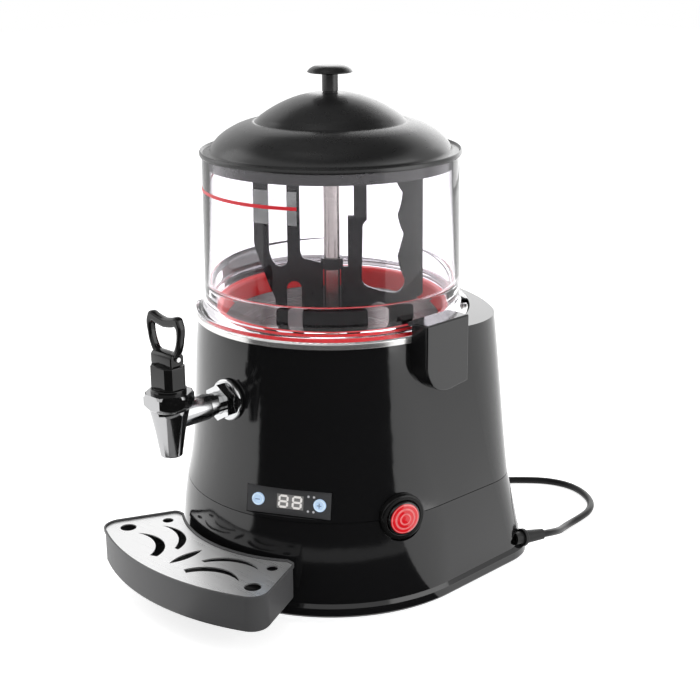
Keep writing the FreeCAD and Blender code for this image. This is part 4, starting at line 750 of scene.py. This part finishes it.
grainedFinishes = {
    "glossHousing": dict(colour=(0.0075, 0.0075, 0.008), roughness=0.08, grain=500.0, depth=0.002, uneven=0.08,
                         dust=0.004),
    "satinLid": dict(colour=(0.007, 0.007, 0.0073), roughness=0.25, grain=1500.0, depth=0.012, uneven=0.14,
                     dust=0.012),
    "satinPaddle": dict(colour=(0.004, 0.004, 0.0045), roughness=0.2, grain=1200.0, depth=0.008, shine=0.22),
    "glossHandle": dict(colour=(0.007, 0.007, 0.007), roughness=0.1, grain=700.0, depth=0.004, dust=0.004,
                        shine=0.35),
    "charcoalTray": dict(colour=(0.075, 0.075, 0.077), roughness=0.42, grain=1600.0, depth=0.03, uneven=0.12,
                         dust=0.05),
    "redSilicone": dict(colour=(0.85, 0.008, 0.012), roughness=0.38, grain=1200.0, depth=0.01),
    "blackRubber": dict(colour=(0.009, 0.009, 0.009), roughness=0.5, grain=1400.0, uneven=0.15, dust=0.02,
                        shine=0.3),
    "switchBlack": dict(colour=(0.006, 0.006, 0.006), roughness=0.14, grain=1200.0, depth=0.004, shine=0.22),
    "overlayFilm": dict(colour=(0.065, 0.065, 0.068), roughness=0.32, grain=2200.0, depth=0.01),
    "displayWindow": dict(colour=(0.3, 0.295, 0.29), roughness=0.18, depth=0.002, uneven=0.05),
    "circuitGreen": dict(colour=(0.03, 0.16, 0.07), roughness=0.4),
    "whitePlastic": dict(colour=(0.72, 0.71, 0.67), roughness=0.4),
    "cableSheath": dict(colour=(0.005, 0.005, 0.0055), roughness=0.34, grain=1100.0, depth=0.01, dust=0.01,
                        shine=0.2),
    "castAluminium": dict(colour=(0.55, 0.55, 0.56), roughness=0.38, grain=700.0, depth=0.05, uneven=0.2,
                          metal=1.0),
    "zincSheet": dict(colour=(0.52, 0.53, 0.54), roughness=0.3, grain=160.0, depth=0.01, uneven=0.3, metal=1.0),
    # painted shade: the tap body has the same chrome plating as the nut, set darker so that its reflections read
    # dimmer
    "shadedTapChrome": dict(colour=(0.4, 0.4, 0.405), roughness=0.1, grain=120.0, depth=0.004, metal=1.0),
    "nutChrome": dict(colour=(0.6, 0.605, 0.61), roughness=0.05, grain=120.0, depth=0.004, uneven=0.06,
                      metal=1.0),
    "signInk": dict(colour=(0.2, 0.27, 0.36), roughness=0.4, uneven=0.05),
    "markInk": dict(colour=(0.8, 0.015, 0.03), roughness=0.35, uneven=0.08),
}
bowlCentre = tuple(metres(0, 0, 0))
linedFinishes = {
    "turnedBrass": dict(dark=(0.62, 0.44, 0.2), light=(0.74, 0.56, 0.3), roughness=0.22),
    "potSteel": dict(dark=(0.66, 0.65, 0.64), light=(0.8, 0.79, 0.78), roughness=0.16, metal=0.85,
                     centre=bowlCentre),
    "tubeSteel": dict(dark=(0.27, 0.245, 0.23), light=(0.46, 0.43, 0.41), roughness=0.14, centre=bowlCentre),
    # painted light: the plate's brushed steel is set near white, paler than the other steel, so that it reads lighter
    "litPlateSteel": dict(dark=(0.86, 0.86, 0.86), light=(0.97, 0.97, 0.97), roughness=0.26, straight=True,
                       fineness=1500.0, metal=0.85),
    "partSteel": dict(dark=(0.55, 0.55, 0.55), light=(0.68, 0.68, 0.68), roughness=0.2, straight=True,
                      fineness=900.0),
}
keyLight = dict(base=(0.4, 0.5, 0.6), glowAndHighlight=[(0.42, 0.6, 0.86), (0.75, 0.88, 1.0)], strength=0.62,
                glowAndHighlightRings=[(4.5, 0.5)], roughness=0.3)
ringFinishes = {
    "minusKey": dict(keyLight, face=onPanel(panel, panel["signs"]["minus"][0], 0)),
    "plusKey": dict(keyLight, face=onPanel(panel, panel["signs"]["plus"][0], 0)),
    # power button: the red glow is the lit switch, and its pale rings are painted highlights, the reflections on its
    # domed cap
    "redButton": dict(face=faceFrame(134.4, 70.5, 92), base=(0.42, 0.006, 0.01),
                      glowAndHighlight=[(0.72, 0.01, 0.018), (1.0, 0.42, 0.42)], strength=0.5,
                      glowAndHighlightRings=[(8.9, 1.1), (4.7, 0.9), (12.6, 0.5)], roughness=0.14, edge=13.6),
}
glowFinishes = {
    "lampLens": dict(colour=(0.8, 0.8, 0.9), strength=0.3, base=(0.4, 0.4, 0.38)),
    "litDigit": dict(colour=(1.0, 0.95, 0.9), strength=0.5, base=(0.5, 0.5, 0.5)),
}
finishes = {
    "clearBowl": clearWall("clearBowl", colour=(0.97, 0.95, 0.985), index=1.3, shine=0.14, smear=0.05),
    "stickerFilm": clearFilm("stickerFilm", tint=(0.85, 0.85, 0.87), shine=0.24),
}
for make, table in ((grained, grainedFinishes), (lined, linedFinishes), (litAndHighlightRings, ringFinishes),
                    (glowing, glowFinishes)):
    for name, values in table.items():
        finishes[name] = make(name, **values)

nodeFinish = {
    "glossHousing": ["upper_housing", "base_housing"],
    "satinLid": ["lid_shell", "lid_knob"],
    "satinPaddle": ["paddle", "mixer_cap"],
    "glossHandle": ["tap_handle", "tap_bonnet"],
    "charcoalTray": ["drip_tray"],
    "clearBowl": ["bowl"],
    "redSilicone": ["bowl_gasket"],
    "blackRubber": ["rubber_feet", "shaft_seal", "flange_seal", "pot_seal", "strain_relief", "mains_plug",
                    "seat_cup"],
    "switchBlack": ["switch_bezel", "switch_body"],
    "overlayFilm": ["panel_overlay"],
    "displayWindow": ["digit_display"],
    "circuitGreen": ["control_board", "power_board"],
    "whitePlastic": ["thermal_cutout", "terminal_block"],
    "castAluminium": ["heater_ring", "gearbox"],
    "zincSheet": ["base_plate", "foot_screws", "housing_screws", "rear_vent_cover", "pot_pillars",
                  "bracket_screws", "motor_bracket", "gear_motor"],
    "turnedBrass": ["pot_nut", "drive_coupling"],
    "potSteel": ["steel_pot"],
    "tubeSteel": ["mixer_tube", "drive_shaft", "temperature_probe"],
    "litPlateSteel": ["drip_plate"],
    "partSteel": ["knob_screw", "tap_plunger", "tap_spring", "handle_pin"],
    "shadedTapChrome": ["tap_body"],
    "nutChrome": ["tap_shank", "tap_flange", "tap_nut"],
    "minusKey": ["minus_button"],
    "plusKey": ["plus_button"],
    "redButton": ["power_button"],
    "lampLens": ["indicator_lamps"],
    "cableSheath": ["mains_lead", "lead_coil"],
}
pieceFinish = {
    "cableSheath": [cable],
    "satinLid": [lidShell, knob],
    "clearBowl": [bowlWall],
    "markInk": [levelMark],
    "stickerFilm": [levelFilm],
    "glossHandle": [loopHandle, tapCap],
    "shadedTapChrome": [tapShell],
    "partSteel": [tapSpring],
    "litDigit": [digits],
    "signInk": signs,
}


def dress(item, name):
    item.data.materials.clear()
    item.data.materials.append(finishes[name])


for name, given in nodeFinish.items():
    for node in given:
        dress(nodes[node], name)
for name, items in pieceFinish.items():
    for item in items:
        dress(item, name)
print("finishes made")


# floor, backdrop and lamps

studio = {
    "floorHalf": 6.0,
    "floorColour": (0.86, 0.86, 0.86),
    "floorSeen": 0.72,
    "ambient": 0.55,
    # place, aim, width, height, power
    "lamps": {
        "rightBox": ((1.9, 0.75, 0.7), (0.05, 0.03, 0.2), 1.6, 1.7, 17.0),
        "backBox": ((-0.9, 2.1, 0.8), (0, 0.03, 0.25), 2.2, 1.6, 18.0),
        "leftBox": ((-1.5, -0.7, 0.9), (0, -0.05, 0.2), 0.9, 1.3, 4.4),
        "topBox": ((-0.2, -0.4, 2.2), (0, 0, 0.2), 1.2, 1.2, 12.0),
    },
    # line of (radius, height) in mm, from and to angle, brightness; seen in gloss alone
    "screens": {
        "footScreen": ([(150, 1.5), (340, 1.5), (340, 1), (150, 1)], (4, 88), 0.01),
        "frontScreen": ([(480, 2), (700, 2), (700, 330), (702, 330), (702, 1), (480, 1)], (-11, 88), 0.01),
        "gapScreen": ([(342, 1.5), (478, 1.5), (478, 1), (342, 1)], (14, 88), 0.4),
        "topScreen": ([(1000, 1350), (600, 1500), (1, 1600), (1, 1602), (601, 1502), (1002, 1351)], (0, 360), 0.1),
    },
    "screenSteps": 64,
}


def pathOfSight(tree):
    # 1 for rays from the camera, from gloss and through clear walls
    path = put(tree, "ShaderNodeLightPath").outputs
    seen = calc(tree, "MAXIMUM", path["Is Camera Ray"], path["Is Glossy Ray"])
    return calc(tree, "MAXIMUM", seen, path["Is Transmission Ray"])


def setWorld(settings):
    world = bpy.data.worlds.new("paleRoom")
    scene.world = world
    world.use_nodes = True
    tree = world.node_tree
    tree.nodes.clear()
    strength = ranged(tree, pathOfSight(tree), 0.0, 1.0, settings["ambient"], 1.0)
    light = put(tree, "ShaderNodeBackground", {"Color": (1, 1, 1, 1), "Strength": strength})
    put(tree, "ShaderNodeOutputWorld", {"Surface": light.outputs[0]})


def setFloor(settings):
    half = settings["floorHalf"]
    mesh = bpy.data.meshes.new("floor")
    mesh.from_pydata([(-half, -half, 0), (half, -half, 0), (half, half, 0), (-half, half, 0)], [], [(0, 1, 2, 3)])
    floor = linked("floor", mesh)
    material, tree, coords = startMaterial("paleFloor")
    grain = bumped(tree, noise(tree, coords, 30.0, 3.0), 0.2, 0.1)
    matte = put(tree, "ShaderNodeBsdfDiffuse", {"Color": (*settings["floorColour"], 1), "Normal": grain})
    seen = calc(tree, "MULTIPLY", pathOfSight(tree), settings["floorSeen"])
    lift = put(tree, "ShaderNodeEmission", {"Color": (1, 1, 1, 1), "Strength": seen})
    finish(tree, put(tree, "ShaderNodeAddShader", {0: matte.outputs[0], 1: lift.outputs[0]}))
    mesh.materials.append(material)


def setLamps(settings):
    for name, (place, aim, width, height, power) in settings["lamps"].items():
        data = bpy.data.lights.new(name, "AREA")
        data.shape = "RECTANGLE"
        data.size = width
        data.size_y = height
        data.energy = power
        lamp = linked(name, data)
        lamp.location = place
        lamp.rotation_euler = (Vector(aim) - Vector(place)).to_track_quat("-Z", "Y").to_euler()
        lamp.visible_camera = False


def setScreens(settings):
    # cards round the machine that only its reflections show
    for name, (line, span, brightness) in settings["screens"].items():
        card = turnedPiece(name, line, around=settings["screenSteps"], span=span)
        material, tree, coords = startMaterial(name)
        card.data.materials.append(material)
        tone = ranged(tree, noise(tree, coords, 2.0, 2.0), 0.0, 1.0, brightness * 0.8, brightness * 1.2)
        finish(tree, put(tree, "ShaderNodeEmission", {"Color": (1, 1, 1, 1), "Strength": tone}))
        for way in ("camera", "diffuse", "transmission", "shadow", "volume_scatter"):
            setattr(card, "visible_" + way, False)


setWorld(studio)
setFloor(studio)
setLamps(studio)
setScreens(studio)
scene.view_settings.view_transform = "Standard"
print("studio lit")
